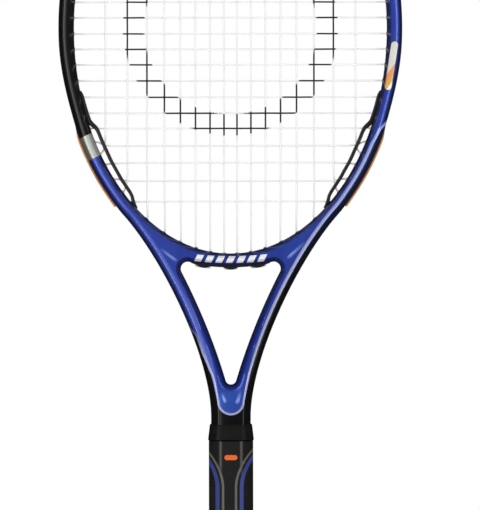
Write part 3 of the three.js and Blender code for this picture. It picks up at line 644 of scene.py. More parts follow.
def with_pill(tree, body, x, z, on_front):
    """Adds a slim pill on the right of the head's front, in slanted fields inside a dark edge."""
    pill_top, pill_foot = (0.1249, 0.4868), (0.1199, 0.4552)
    pill_radius, pill_edge, pill_slant = 0.0030, 0.0004, 60.0
    fields = (
        (0.58, (0.80, 0.30, 0.10)), (0.84, (0.66, 0.42, 0.08)), (1.01, (0.85, 0.85, 0.78)),
    )
    along, off_x, off_z = line_places(tree, x, z, pill_top, pill_foot)
    reach = length_node(tree, off_x, off_z)
    covered, filled = (
        math_node(tree, "MULTIPLY", on_front, math_node(tree, "LESS_THAN", reach, radius))
        for radius in (pill_radius, pill_radius - pill_edge)
    )
    slanted = math_node(tree, "MULTIPLY_ADD", off_x, pill_slant, along)
    pill = (0.66, 0.66, 0.58)
    for start, colour in fields:
        pill = mix_colour(tree, math_node(tree, "GREATER_THAN", slanted, start), pill, colour)
    body = mix_colour(tree, covered, body, (0.03, 0.03, 0.04))
    return mix_colour(tree, filled, body, pill), covered


def dash_row(tree, x, z):
    """A mask of slanted dashes along the throat bridge."""
    dash_pitch, dash_count, dash_half_share, dash_lean = 0.0080, 7, 0.32, -0.5
    row_lift, row_bow, row_half_height = 0.0052, 1.9, 0.0026
    line = math_node(
        tree, "MULTIPLY_ADD", math_node(tree, "MULTIPLY", x, x), row_bow, bridge_line + row_lift
    )
    level = math_node(tree, "SUBTRACT", z, line)
    in_row = math_node(
        tree, "LESS_THAN", math_node(tree, "ABSOLUTE", level), row_half_height
    )
    sheared = math_node(tree, "MULTIPLY_ADD", level, dash_lean, x)
    in_span = math_node(
        tree, "LESS_THAN", math_node(tree, "ABSOLUTE", sheared), dash_pitch * dash_count / 2
    )
    phase = math_node(tree, "FRACT", math_node(tree, "MULTIPLY_ADD", sheared, 1 / dash_pitch, 0.5))
    from_middle = math_node(tree, "ABSOLUTE", math_node(tree, "SUBTRACT", phase, 0.5))
    in_dash = math_node(tree, "LESS_THAN", from_middle, dash_half_share)
    return math_node(tree, "MULTIPLY", math_node(tree, "MULTIPLY", in_row, in_span), in_dash)


def lacquer():
    """Metallic blue over most of the frame, black on the left of the head and outside a pale
    pinstripe, a silver band between them, a pill and a row of dashes, under clear lacquer."""
    black = (0.0025, 0.0025, 0.0030)
    navy = (0.0025, 0.010, 0.050)
    silver = (0.51, 0.53, 0.49)
    silver_painted_shade = (0.17, 0.165, 0.125)
    lilac = (0.40, 0.42, 0.70)
    pale_blue = (0.36, 0.43, 0.86)
    ridge_painted_highlight = (0.27, 0.40, 0.95)
    dash_white = (0.80, 0.80, 0.82)
    ridge_rise = 0.0003
    flake_scale = 2600
    material, tree, shader = new_material("lacquered_frame")
    place, x, y, z = object_axes(tree)
    inset = attribute_value(tree, "edge_distance")
    on_right = math_node(tree, "GREATER_THAN", x, 0.0)
    on_front = math_node(tree, "LESS_THAN", y, 0.0)

    body = blue_coat(tree, y, z, inset)
    banded = head_band(tree, x, z, inset, 0.3990, -0.003)
    blackened = head_band(tree, x, z, inset, 0.4157, -0.020)
    # Painted shade: the outer part of the silver band is painted dark
    band_colour = mix_colour(tree, ramp_node(tree, inset, 0.0030, 0.0038), silver_painted_shade, silver)
    body = mix_colour(tree, banded, body, band_colour)
    body = mix_colour(tree, blackened, body, black)

    # Painted highlight along the moulded ridges, which are also bumped
    ridges = moulded_ridges(tree, x, z)
    body = mix_colour(tree, math_node(tree, "MULTIPLY", ridges, 0.90), body, ridge_painted_highlight)
    moulded = bump_node(tree, ridges, ridge_rise)

    # Black and navy outside the pinstripe, which fades in on the left arm
    inside = inside_pinstripe(tree, x, z, inset, on_right)
    beyond = math_node(tree, "LESS_THAN", inside, 0.0)
    outside_colour = mix_colour(tree, ramp_node(tree, z, 0.30, 0.40), black, navy)
    body = mix_colour(tree, beyond, body, outside_colour)
    stripe_colour = mix_colour(tree, ramp_node(tree, z, 0.320, 0.370), lilac, pale_blue)
    striped = math_node(
        tree, "LESS_THAN", math_node(tree, "ABSOLUTE", inside),
        ramp_node(tree, z, 0.235, 0.330, 0.0008, 0.0012),
    )
    line_strength = math_node(
        tree, "MAXIMUM", on_right, ramp_node(tree, z, 0.272, 0.250, 0.12, 1.0)
    )
    striped = math_node(tree, "MULTIPLY", striped, line_strength)
    body = mix_colour(tree, striped, body, stripe_colour)

    body, pill = with_pill(tree, body, x, z, on_front)
    dashes = math_node(tree, "MULTIPLY", dash_row(tree, x, z), on_front)
    body = mix_colour(tree, dashes, body, dash_white)
    printed = math_node(tree, "MAXIMUM", dashes, pill)

    # Clear coat over fine flake, with faint handling marks
    height, scuffs = grain_node(tree, place, 900, 60)
    flake = tree.nodes.new("ShaderNodeTexVoronoi")
    flake.inputs["Scale"].default_value = flake_scale
    tree.links.new(place, flake.inputs["Vector"])
    sparkle = ramp_node(tree, flake.outputs["Distance"], 0.0, 0.9, 1.12, 0.88)
    tree.links.new(mix_colour(tree, 1.0, body, sparkle, "MULTIPLY"), shader.inputs["Base Color"])
    painted_black = math_node(tree, "MAXIMUM", beyond, blackened)
    no_flake = math_node(tree, "MAXIMUM", painted_black, printed)
    metal = math_node(tree, "MULTIPLY_ADD", banded, -0.15, 0.55)
    metal = math_node(tree, "MULTIPLY", metal, math_node(tree, "SUBTRACT", 1.0, no_flake))
    tree.links.new(metal, shader.inputs["Metallic"])
    rough = ramp_node(tree, scuffs, 0.0, 1.0, 0.36, 0.42)
    tree.links.new(rough, shader.inputs["Roughness"])
    shader.inputs["Specular IOR Level"].default_value = 0.15
    coat = math_node(tree, "MULTIPLY_ADD", painted_black, -0.45, 1.0)
    tree.links.new(coat, shader.inputs["Coat Weight"])
    shader.inputs["Coat Roughness"].default_value = 0.10
    tree.links.new(bump_node(tree, height, 0.00002, 0.4, moulded), shader.inputs["Normal"])
    tree.links.new(moulded, shader.inputs["Coat Normal"])
    return material


# A new layer unsettles the ones in use, so all of a mesh's layers are made first
frame_mesh = bmesh.new()
frame_mesh.verts.layers.int.new("order")
edge_layer = frame_mesh.verts.layers.float.new("edge_distance")
opening_layer = frame_mesh.verts.layers.float.new("opening_distance")
front_edges, back_edges = [], []
for loop, clockwise, reach_at, is_outer in (
    (outer_loop, True, outer_reach_at, True),
    (hoop_loop, True, hoop_reach_at, False),
    (throat_loop, False, throat_reach_at, False),
):
    rings = tube_rings(loop, loop_normals(loop, clockwise), reach_at, is_outer)
    first, last = extrude_rings(frame_mesh, rings)
    front_edges += first
    back_edges += last
bmesh.ops.triangle_fill(frame_mesh, edges=front_edges, use_beauty=True, normal=(0, -1, 0))
bmesh.ops.triangle_fill(frame_mesh, edges=back_edges, use_beauty=True, normal=(0, 1, 0))
bmesh.ops.recalc_face_normals(frame_mesh, faces=frame_mesh.faces)

# The paint follows each corner's distance from the outer edge and from the openings
edge_sample_count = 2400
edge_samples = [
    edge_at(edge_runs[-1] * step / edge_sample_count) for step in range(edge_sample_count + 1)
]
edge_samples += [Vector((shaft_half_width, 0, shaft_top - 0.0005 * step)) for step in range(1, 50)]
edge_finder = nearest_finder(edge_samples)
opening_finder = nearest_finder(hoop_loop + throat_loop)
for corner in frame_mesh.verts:
    corner[edge_layer] = edge_finder.find(Vector((abs(corner.co.x), 0, corner.co.z)))[2]
    corner[opening_layer] = opening_finder.find(Vector((corner.co.x, 0, corner.co.z)))[2]

core = bmesh.ops.create_cube(frame_mesh, size=1)["verts"]
core_top = handle_top + core_sunk
bmesh.ops.scale(
    frame_mesh, verts=core, vec=(2 * core_half_width, 2 * core_half_depth, core_top - core_bottom)
)
bmesh.ops.translate(frame_mesh, verts=core, vec=(0, 0, (core_top + core_bottom) / 2))
frame_piece = finished("frame_tube", frame_mesh, lacquer(), crease=40)
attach(frame_piece, "racket")
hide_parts("frame")

# Grommet strips: nylon channels pressed into the groove, with a barrel through the rim for each
# string. A thick bumper goes over the top, orange cushions on a black base sit low on both sides,
# and plain black strips lie between and below them.
string_radius = 0.00065
lane_offset = 0.0012
loop_inset = 0.00095
throat_loop_drop = 0.00205
barrel_radius = 0.0016
barrel_tip = 0.0004
barrel_steps = 12
barrel_root = 0.001
bend_stand_off = 0.0008
throat_hole_span = 0.0283
main_shares = (0.0415, 0.1305, 0.2234, 0.3197, 0.4218, 0.5331, 0.6577, 0.7983)
cross_shares = (
    0.6512, 0.5465, 0.4448, 0.3517, 0.2663, 0.1878, 0.1151, 0.0459, -0.0256, -0.0942,
    -0.1628, -0.2343, -0.307, -0.3779, -0.4453, -0.5227, -0.5971, -0.6785, -0.7692,
)
main_top_angles = {7: 37.5}
main_foot_angles = {6: -46.6, 7: -33.8}
cross_angles = {15: -30.4, 16: -37.3, 17: -42.2, 18: -50.8}
strip_half_width = 0.0032
strip_floor = 0.0031
strip_lip = 0.0005
strip_round = 0.0002
strip_gap = 0.00015
ring_spacing = 0.0025
channel_half_width = 0.00225
channel_floor = 0.0021
bumper_flange = 0.0047
cushion_rise = 0.0015
cushion_taper = 0.012


def outlet_of(angle, in_throat):
    """Where a hole from the rim comes out, and its direction."""
    start = rim_point(angle)
    along = Vector((0, 0, -1)) if in_throat else rim_normal(angle)
    far = start + along * head_half_width
    outline = throat_right if in_throat else right_edge
    hits = []
    for before, after in zip(outline, outline[1:]):
        hit = intersect_line_line_2d(start.xz, far.xz, before.xz, after.xz)
        if hit:
            hits.append(Vector((hit.x, 0, hit.y)))
    return start, min(hits, key=lambda place: (place - start).length), along


def string_end(angle, side, lane, in_throat=False):
    """One end of a string's run: it passes the rim in a barrel and turns in the groove, or turns
    under the throat bridge."""
    start, outlet, along = outlet_of(angle, in_throat)
    corner = outlet + along * (throat_loop_drop if in_throat else -loop_inset)
    corner.y = lane
    end = {
        "root": start,
        "tip": start - along * barrel_tip,
        "bend": start - along * (barrel_tip + bend_stand_off),
        "corner": corner,
    }
    for place in end.values():
        place.x *= side
    run = side * edge_runs[-1] * edge_finder.find(outlet)[1] / edge_sample_count
    return {**end, "run": run, "in_throat": in_throat}


main_runs = []
for side in (-1, 1):
    for number, share in enumerate(main_shares):
        offset = head_half_width * share
        own = math.degrees(math.acos(offset / (head_half_width - barrel_tip)))
        in_throat = offset < throat_hole_span
        foot = -math.degrees(math.acos(share)) if in_throat else -own
        main_runs.append({
            "x": side * offset,
            "top_end": string_end(main_top_angles.get(number, own), side, lane_offset),
            "foot_end": string_end(main_foot_angles.get(number, foot), side, lane_offset, in_throat),
        })
main_runs.sort(key=lambda run: run["x"])
cross_rows = []
for number, share in enumerate(cross_shares):
    own = math.degrees(math.asin(head_half_length * share / (head_half_length - barrel_tip)))
    angle = cross_angles.get(number, own)
    cross_rows.append({
        "height": head_centre + head_half_length * share,
        "left_end": string_end(angle, -1, -lane_offset),
        "right_end": string_end(angle, 1, -lane_offset),
    })
string_ends = [run[key] for run in main_runs for key in ("top_end", "foot_end")]
string_ends += [row[key] for row in cross_rows for key in ("left_end", "right_end")]
hole_runs = sorted(end["run"] for end in string_ends if end["run"] > 0 and not end["in_throat"])


def seam_after(holes):
    return (hole_runs[holes - 1] + hole_runs[holes]) / 2


bumper_end, cushion_top, cushion_end = seam_after(8), seam_after(22), seam_after(28)
shoulder_end = groove_end_run - 0.0003


def moulded_plastic(
    name, colour, grain_scale, grain_depth, roughness, scuffed, scuff_colour, specular=0.5
):
    """Plastic or rubber with a fine moulded grain, and paler dull patches where it has rubbed."""
    material, tree, shader = new_material(name)
    shader.inputs["Specular IOR Level"].default_value = specular
    place = object_axes(tree)[0]
    height, scuffs = grain_node(tree, place, grain_scale, 45)
    worn = math_node(tree, "MULTIPLY", scuffs, scuffed)
    tree.links.new(mix_colour(tree, worn, colour, scuff_colour), shader.inputs["Base Color"])
    rough = ramp_node(tree, height, 0.2, 0.8, roughness - 0.05, roughness + 0.08)
    tree.links.new(math_node(tree, "MULTIPLY_ADD", worn, 0.2, rough), shader.inputs["Roughness"])
    tree.links.new(bump_node(tree, height, grain_depth), shader.inputs["Normal"])
    return material


nylon_black = (0.010, 0.010, 0.011)
strip_black = moulded_plastic(
    "black_nylon", nylon_black, 1400, 0.00004, 0.42, 0.5, (0.03, 0.03, 0.03)
)
bumper_black = moulded_plastic(
    "scuffed_bumper", nylon_black, 1400, 0.00006, 0.45, 0.9, (0.09, 0.09, 0.09)
)


def cushion_rubber():
    """Orange rubber that turns to its black base where it meets the frame."""
    material = moulded_plastic(
        "orange_cushion", (0.72, 0.27, 0.075), 1100, 0.00005, 0.48, 0.5, (0.55, 0.18, 0.05)
    )
    tree = material.node_tree
    colour = tree.nodes["Principled BSDF"].inputs["Base Color"]
    orange = colour.links[0].from_socket
    on_pad = ramp_node(tree, attribute_value(tree, "edge_distance"), 0.00030, 0.00055)
    tree.links.new(mix_colour(tree, on_pad, nylon_black, orange), colour)
    return material


def strip_section(proud, rounding, flange):
    """Half outline of a strip, from its channel's floor over the lip to its underside."""
    lip = -proud
    outline = [(channel_floor, channel_half_width), (lip + rounding, channel_half_width)]
    outline += [(lip + rounding * 0.3, channel_half_width + rounding * 0.3)]
    outline += [(lip, channel_half_width + rounding)]
    if flange > strip_half_width:
        outline += [(lip, flange - 3 * rounding), (lip + rounding, flange - rounding)]
        outline += [(lip + 2 * rounding, flange)]
        outline += [(-strip_gap, flange), (-strip_gap, strip_half_width)]
    else:
        outline += [(lip, strip_half_width - rounding)]
        outline += [(lip + rounding * 0.3, strip_half_width - rounding * 0.3)]
        outline += [(lip + rounding, strip_half_width)]
    seat_line = max(lip + rounding, 0) + 0.00001
    return outline + [(seat_line, strip_half_width), (strip_floor, strip_half_width)]


def mirrored_section(half):
    """Both halves of a section, given as depth and half-width."""
    return half + [(depth, -y) for depth, y in reversed(half)]


def add_barrel(mesh, end):
    """A round tube with a rolled tip, spun about the string's line."""
    inwards = (end["tip"] - end["root"]).normalized()
    bore = string_radius * 1.2
    section = (
        (-barrel_root, barrel_radius), (barrel_tip * 0.8, barrel_radius),
        (barrel_tip * 0.95, barrel_radius * 0.92), (barrel_tip, barrel_radius * 0.75),
        (barrel_tip * 0.95, bore), (-barrel_root, bore),
    )
    corners = [
        mesh.verts.new(end["root"] + inwards * along + Vector((0, radius, 0)))
        for along, radius in section
    ]
    edges = ring_edges(mesh, corners)
    bmesh.ops.spin(
        mesh, geom=corners + edges, cent=end["root"], axis=inwards, angle=2 * math.pi,
        steps=barrel_steps, use_merge=True,
    )


def capped_rings(mesh, rings):
    for edges in extrude_rings(mesh, rings):
        bmesh.ops.edgeloop_fill(mesh, edges=edges)


def grommet_strip(
    name, start, finish, proud, rounding, material, flange=0.0, taper=0.0, blunt_foot=False
):
    """A channel that follows the frame's edge between two places, tapered at its ends or only at
    the upper one."""
    mesh = bmesh.new()
    mesh.verts.layers.int.new("order")
    layer = mesh.verts.layers.float.new("edge_distance")
    count = max(int((finish - start) / ring_spacing), 2)
    rings = []
    for step in range(count + 1):
        run = start + (finish - start) * step / count
        from_top = abs(run) - min(abs(start), abs(finish))
        from_end = from_top if blunt_foot else min(run - start, finish - run)
        rise = between(from_end, 0, taper, 0.4 * strip_gap, proud) if taper else proud
        ring = []
        for inset, y in mirrored_section(strip_section(rise, rounding, flange)):
            spot = edge_at(run, inset)
            spot.y = y
            ring.append(spot)
        rings.append(ring)
    capped_rings(mesh, rings)
    for end in string_ends:
        if not end["in_throat"] and start < end["run"] < finish:
            add_barrel(mesh, end)
    for corner in mesh.verts:
        corner[layer] = edge_finder.find(Vector((abs(corner.co.x), 0, corner.co.z)))[2]
    piece = finished(name, mesh, material, crease=50)
    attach(piece, "racket")
    return piece


bumper = grommet_strip(
    "bumper_guard", strip_gap - bumper_end, bumper_end - strip_gap, 0.0018, 0.0003, bumper_black,
    flange=bumper_flange, taper=0.014,
)
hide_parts("head_bumper_guard")
cushion_orange = cushion_rubber()
for word, side in (("right", 1), ("left", -1)):
    for node, low, high, proud, rounding, taper, material, slot in (
        ("side_grommet_strip", bumper_end, cushion_top, -strip_lip, strip_round, 0, strip_black,
         "strip_black"),
        ("cushion_strip", cushion_top, cushion_end, cushion_rise, 0.00045, cushion_taper,
         cushion_orange, "cushion_orange"),
        ("shoulder_grommet_strip", cushion_end, shoulder_end, -strip_lip, strip_round, 0,
         strip_black, "strip_black"),
    ):
        start, stop = sorted((side * (low + strip_gap), side * (high - strip_gap)))
        piece = grommet_strip(
            f"{node}_{word}_moulding", start, stop, proud, rounding, material, taper=taper,
            blunt_foot=True,
        )
        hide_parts(f"{node}_{word}")

# Throat strip: a black nylon strip snapped under the bridge by six barrels, with three humps that
# cover the string loops.
throat_strip_reach = (throat_half_width - throat_corner_radius) * 0.92
throat_strip_base = 0.0008
throat_strip_proud = 0.0009
throat_strip_tip = 0.003
throat_strip_steps = 90
hump_proud = 0.0026
hump_reach = 0.0056
hump_places = (-0.02115, 0.0, 0.02115)
rings = []
for step in range(throat_strip_steps + 1):
    x = throat_strip_reach * (2 * step / throat_strip_steps - 1)
    near = min(abs(x - hump) for hump in hump_places)
    swell = max(0, 1 - (near / hump_reach) ** 2)
    tip_share = min(1, (throat_strip_reach - abs(x)) / throat_strip_tip)
    drop = throat_strip_proud * (0.5 + 0.5 * tip_share) + (hump_proud - throat_strip_proud) * swell
    section = mirrored_section([
        (throat_strip_base * 0.6, channel_half_width), (drop * 0.8, channel_half_width),
        (drop, 0.0027), (drop, 0.0029), (drop * 0.85, strip_half_width), (0, strip_half_width),
    ])
    rings.append([bridge_edge(x) + Vector((0, y, -down)) for down, y in section])
throat_strip_mesh = bmesh.new()
capped_rings(throat_strip_mesh, rings)
for end in string_ends:
    if end["in_throat"]:
        add_barrel(throat_strip_mesh, end)
throat_strip = finished("throat_strip_moulding", throat_strip_mesh, strip_black, crease=50)
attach(throat_strip, "racket")
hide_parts("throat_grommet_strip")

# Suspension bars: glossy black nylon bars that stand off the rim low on both sides of the head.
# Each has a shoe and a foot on the rim, and the strings pass through it. A station gives an angle
# round the rim, and how far inside the rim the bar's two edges lie, in millimetres.
bar_half_depth = 0.0045
bar_corner = 0.0006
bar_step_angle = 0.5
bar_stations = (
    (-16.2, -0.3, 0.9), (-16.9, -0.3, 1.8), (-18, -0.3, 2.2), (-21, -0.3, 2.4), (-24.3, -0.3, 2.8),
    (-25.1, -0.2, 3.7), (-25.8, 0.5, 4.8), (-26.4, 1.9, 5.7), (-27.1, 3.1, 6.2), (-28.2, 3.6, 6.3),
    (-31, 3.7, 6.4), (-34, 3.8, 6.5), (-37, 3.6, 6.2), (-40, 3.6, 6.2), (-43, 3.3, 5.9),
    (-46, 3.2, 5.8), (-48, 2.9, 5.5), (-49.2, 2.3, 4.9), (-49.9, 1.4, 4.2), (-50.5, 0.4, 3.5),
    (-51.1, -0.3, 2.8), (-52, -0.3, 1.9), (-53.2, -0.3, 0.9),
)


def glossy_nylon():
    material, tree, shader = new_material("glossy_black_nylon")
    height, scuffs = grain_node(tree, object_axes(tree)[0], 700, 50)
    tint = mix_colour(tree, scuffs, (0.010, 0.009, 0.008), (0.022, 0.020, 0.018))
    tree.links.new(tint, shader.inputs["Base Color"])
    tree.links.new(ramp_node(tree, height, 0.2, 0.8, 0.24, 0.34), shader.inputs["Roughness"])
    tree.links.new(bump_node(tree, height, 0.00003, 0.6), shader.inputs["Normal"])
    return material


def bar_levels(angle):
    """The bar's outer and inner edge inside the rim at an angle."""
    for (high, low_a, top_a), (low, low_b, top_b) in zip(bar_stations, bar_stations[1:]):
        if low <= angle <= high:
            share = (high - angle) / (high - low)
            outer, inner = low_a + (low_b - low_a) * share, top_a + (top_b - top_a) * share
            return outer / 1000, inner / 1000
    return bar_stations[-1][1] / 1000, bar_stations[-1][2] / 1000


def bar_section(angle):
    low, top = bar_levels(angle)
    corner = min(bar_corner, (top - low) * 0.4)
    section = mirrored_section([
        (top - corner, -bar_half_depth), (top - corner * 0.3, corner * 0.3 - bar_half_depth),
        (top, corner - bar_half_depth),
    ])
    section += [(low + corner, bar_half_depth), (low, bar_half_depth - corner)]
    return section + [(low, corner - bar_half_depth), (low + corner, -bar_half_depth)]


bar_black = glossy_nylon()
bar_step_count = int((bar_stations[0][0] - bar_stations[-1][0]) / bar_step_angle)
for word, side in (("right", 1), ("left", -1)):
    rings = []
    for step in range(bar_step_count + 1):
        angle = bar_stations[0][0] - bar_step_angle * step
        ring = []
        for inset, y in bar_section(angle):
            spot = rim_point(angle, -inset)
            ring.append(Vector((side * spot.x, y, spot.z)))
        rings.append(ring)
    mesh = bmesh.new()
    capped_rings(mesh, rings)
    bar = finished(f"suspension_bar_{word}_moulding", mesh, bar_black, crease=50)
    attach(bar, "racket")
    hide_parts(f"suspension_bar_{word}")

# Strings: pale nylon, 1.3 mm thick, one length for the mains and one for the crosses, woven over
# and under, turned in the groove at each end and tucked away. A plain ring is stencilled on them.
weave_lift = 0.00067
cross_margin = 0.0022
tie_off_run = 0.005
turn_radius = 0.0014
turn_steps = 6
ring_inner, ring_outer = 0.066, 0.082


def pale_nylon():
    """Clear pale string with a ring of black ink, ragged where the stencil met the weave."""
    raggedness = 0.004
    material, tree, shader = new_material("pale_string")
    place, x, _, z = object_axes(tree)
    height, scuffs = grain_node(tree, place, 1800, 90)
    reach = length_node(tree, x, math_node(tree, "SUBTRACT", z, head_centre))
    ring_middle = (ring_inner + ring_outer) / 2
    from_ring = math_node(tree, "ABSOLUTE", math_node(tree, "SUBTRACT", reach, ring_middle))
    uneven = math_node(tree, "SUBTRACT", height, 0.5)
    ragged = math_node(tree, "MULTIPLY_ADD", uneven, raggedness, from_ring)
    inked = math_node(tree, "LESS_THAN", ragged, (ring_outer - ring_inner) / 2)
    tint = mix_colour(tree, scuffs, (0.93, 0.93, 0.92), (0.86, 0.86, 0.84))
    tint = mix_colour(tree, inked, tint, (0.010, 0.010, 0.010))
    tree.links.new(tint, shader.inputs["Base Color"])
    tree.links.new(ramp_node(tree, height, 0.2, 0.8, 0.28, 0.42), shader.inputs["Roughness"])
    tree.links.new(bump_node(tree, height, 0.00002, 0.5), shader.inputs["Normal"])
    return material


def crosses_at(run, row):
    in_width = abs(run["x"]) < row["right_end"]["tip"].x - cross_margin
    below_top = row["height"] < run["top_end"]["tip"].z - cross_margin
    above_foot = row["height"] > run["foot_end"]["tip"].z + cross_margin
    return in_width and below_top and above_foot


def crossing(run, row, over):
    """The control point of a string's smooth curve where it crosses another. It stands at twice
    the lift that results."""
    lift = 2 * weave_lift if over else -2 * weave_lift
    return Vector((run["x"], lift, row["height"]))


def rounded(places, radius, steps, closed=False):
    """Turns each corner of a line into a short curve, from middle to middle where its radius is
    None."""
    line = [] if closed else [places[0]]
    last = len(places)
    for index, place in enumerate(places):
        if not closed and index in (0, last - 1):
            continue
        own_radius = radius[index] if isinstance(radius, list) else radius
        ends = []
        for other in (places[index - 1], places[(index + 1) % last]):
            run = other - place
            share = 0.5 if own_radius is None else min(own_radius / run.length, 0.5)
            ends.append(place + run * share)
        for step in range(steps + 1):
            share = step / steps
            spot = ends[0].lerp(place, share).lerp(place.lerp(ends[1], share), share)
            if not line or (spot - line[-1]).length > 0.00001:
                line.append(spot)
    return line if closed else line + [places[-1]]


def tucked(end):
    """Where a string's last stretch is tucked under the next loop."""
    spot = edge_at(end["run"] + math.copysign(tie_off_run, end["run"]), loop_inset)
    spot.y = end["corner"].y
    return spot


def loop_between(first, second):
    if first["in_throat"] or second["in_throat"]:
        return []
    spot = edge_at((first["run"] + second["run"]) / 2, loop_inset)
    spot.y = first["corner"].y
    return [spot]


def woven_line(lines, crossings, near_key, far_key):
    """The whole path of one length of string, there and back across the bed."""
    starts, ends, paths = [], [], []
    for number, (line, spots) in enumerate(zip(lines, crossings)):
        forward = number % 2 == 0
        starts.append(line[near_key if forward else far_key])
        ends.append(line[far_key if forward else near_key])
        paths.append(spots if forward else spots[::-1])
    places, radii = [tucked(starts[0])], [turn_radius]
    for index, (first, last) in enumerate(zip(starts, ends)):
        places += [first["corner"], first["bend"], *paths[index], last["bend"], last["corner"]]
        radii += [turn_radius, turn_radius, *[None] * len(paths[index]), turn_radius, turn_radius]
        if index + 1 < len(starts):
            loop = loop_between(last, starts[index + 1])
            places += loop
            radii += [turn_radius] * len(loop)
    places.append(tucked(ends[-1]))
    radii.append(turn_radius)
    return rounded(places, radii, turn_steps)


def string_piece(name, line, material):
    """A round string along a line, as a mesh."""
    curve = bpy.data.curves.new(name, "CURVE")
    curve.dimensions = "3D"
    curve.bevel_depth = string_radius
    curve.bevel_resolution = 2
    curve.use_fill_caps = True
    spline = curve.splines.new("POLY")
    spline.points.add(len(line) - 1)
    for point, place in zip(spline.points, line):
        point.co = (*place, 1)
    drawn = bpy.data.objects.new(name + "_line", curve)
    data = bpy.data.meshes.new_from_object(drawn)
    bpy.data.objects.remove(drawn)
    data.materials.clear()
    data.materials.append(material)
    data.shade_smooth()
    piece = bpy.data.objects.new(name, data)
    scene.collection.objects.link(piece)
    return piece


main_crossings = [
    [
        crossing(run, row, over=(number + row_number) % 2 == 1)
        for row_number, row in enumerate(cross_rows) if crosses_at(run, row)
    ][::-1]
    for number, run in enumerate(main_runs)
]
cross_crossings = [
    [
        crossing(run, row, over=(number + row_number) % 2 == 0)
        for number, run in enumerate(main_runs) if crosses_at(run, row)
    ]
    for row_number, row in enumerate(cross_rows)
]
string_pale = pale_nylon()
for name, node, lines, crossings, near_key, far_key in (
    ("main_strings", "main_string", main_runs, main_crossings, "foot_end", "top_end"),
    ("cross_strings", "cross_string", cross_rows, cross_crossings, "left_end", "right_end"),
):
    piece = string_piece(name, woven_line(lines, crossings, near_key, far_key), string_pale)
    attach(piece, "racket")
    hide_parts(node)

# Grip: a fitted black sleeve over the handle's octagon, glued and flared at the butt, with two
# grey piping lines and two blue inlays that sweep in from the sides and run down front and back.
pallet_half_width = 0.0151
pallet_half_depth = 0.0133
grip_face_share = 0.48
side_face_share = 0.5
seat = 0.0003
grip_thickness = 0.0015
grip_flare = 0.0015
grip_corner_radius = 0.0028
grip_lip = 0.0004
grip_steps = 36
grip_bottom, grip_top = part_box("grip_sleeve")[0].z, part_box("grip_sleeve")[1].z
flare_top = grip_bottom + 0.022
grip_inner_low = 0.0163


def octagon(half_width, half_depth, height, face_share, radius):
    """A rounded octagon at one height."""
    face, flank = half_width * face_share, half_depth * side_face_share
    corners = [
        (face, -half_depth), (half_width, -flank), (half_width, flank), (face, half_depth),
        (-face, half_depth), (-half_width, flank), (-half_width, -flank), (-face, -half_depth),
    ]
    return rounded([Vector((x, y, height)) for x, y in corners], radius, 3, closed=True)


def octagon_rings(stations, half_width, half_depth, face_share, radius):
    """Octagons that grow by each station's amount."""
    return [
        octagon(half_width + grow, half_depth + grow, height, face_share, radius)
        for grow, height in stations
    ]


def closed_shell(name, rings, material, crease=40):
    """A shell through rings, the last joined to the first."""
    mesh = bmesh.new()
    first, last = extrude_rings(mesh, rings)
    bmesh.ops.bridge_loops(mesh, edges=first + last)
    return finished(name, mesh, material, crease)


def within(tree, value, middle, half_width):
    """A mask of the places where a value lies near another."""
    return math_node(tree, "LESS_THAN", math_node(
        tree, "ABSOLUTE", math_node(tree, "SUBTRACT", value, middle)
    ), half_width)


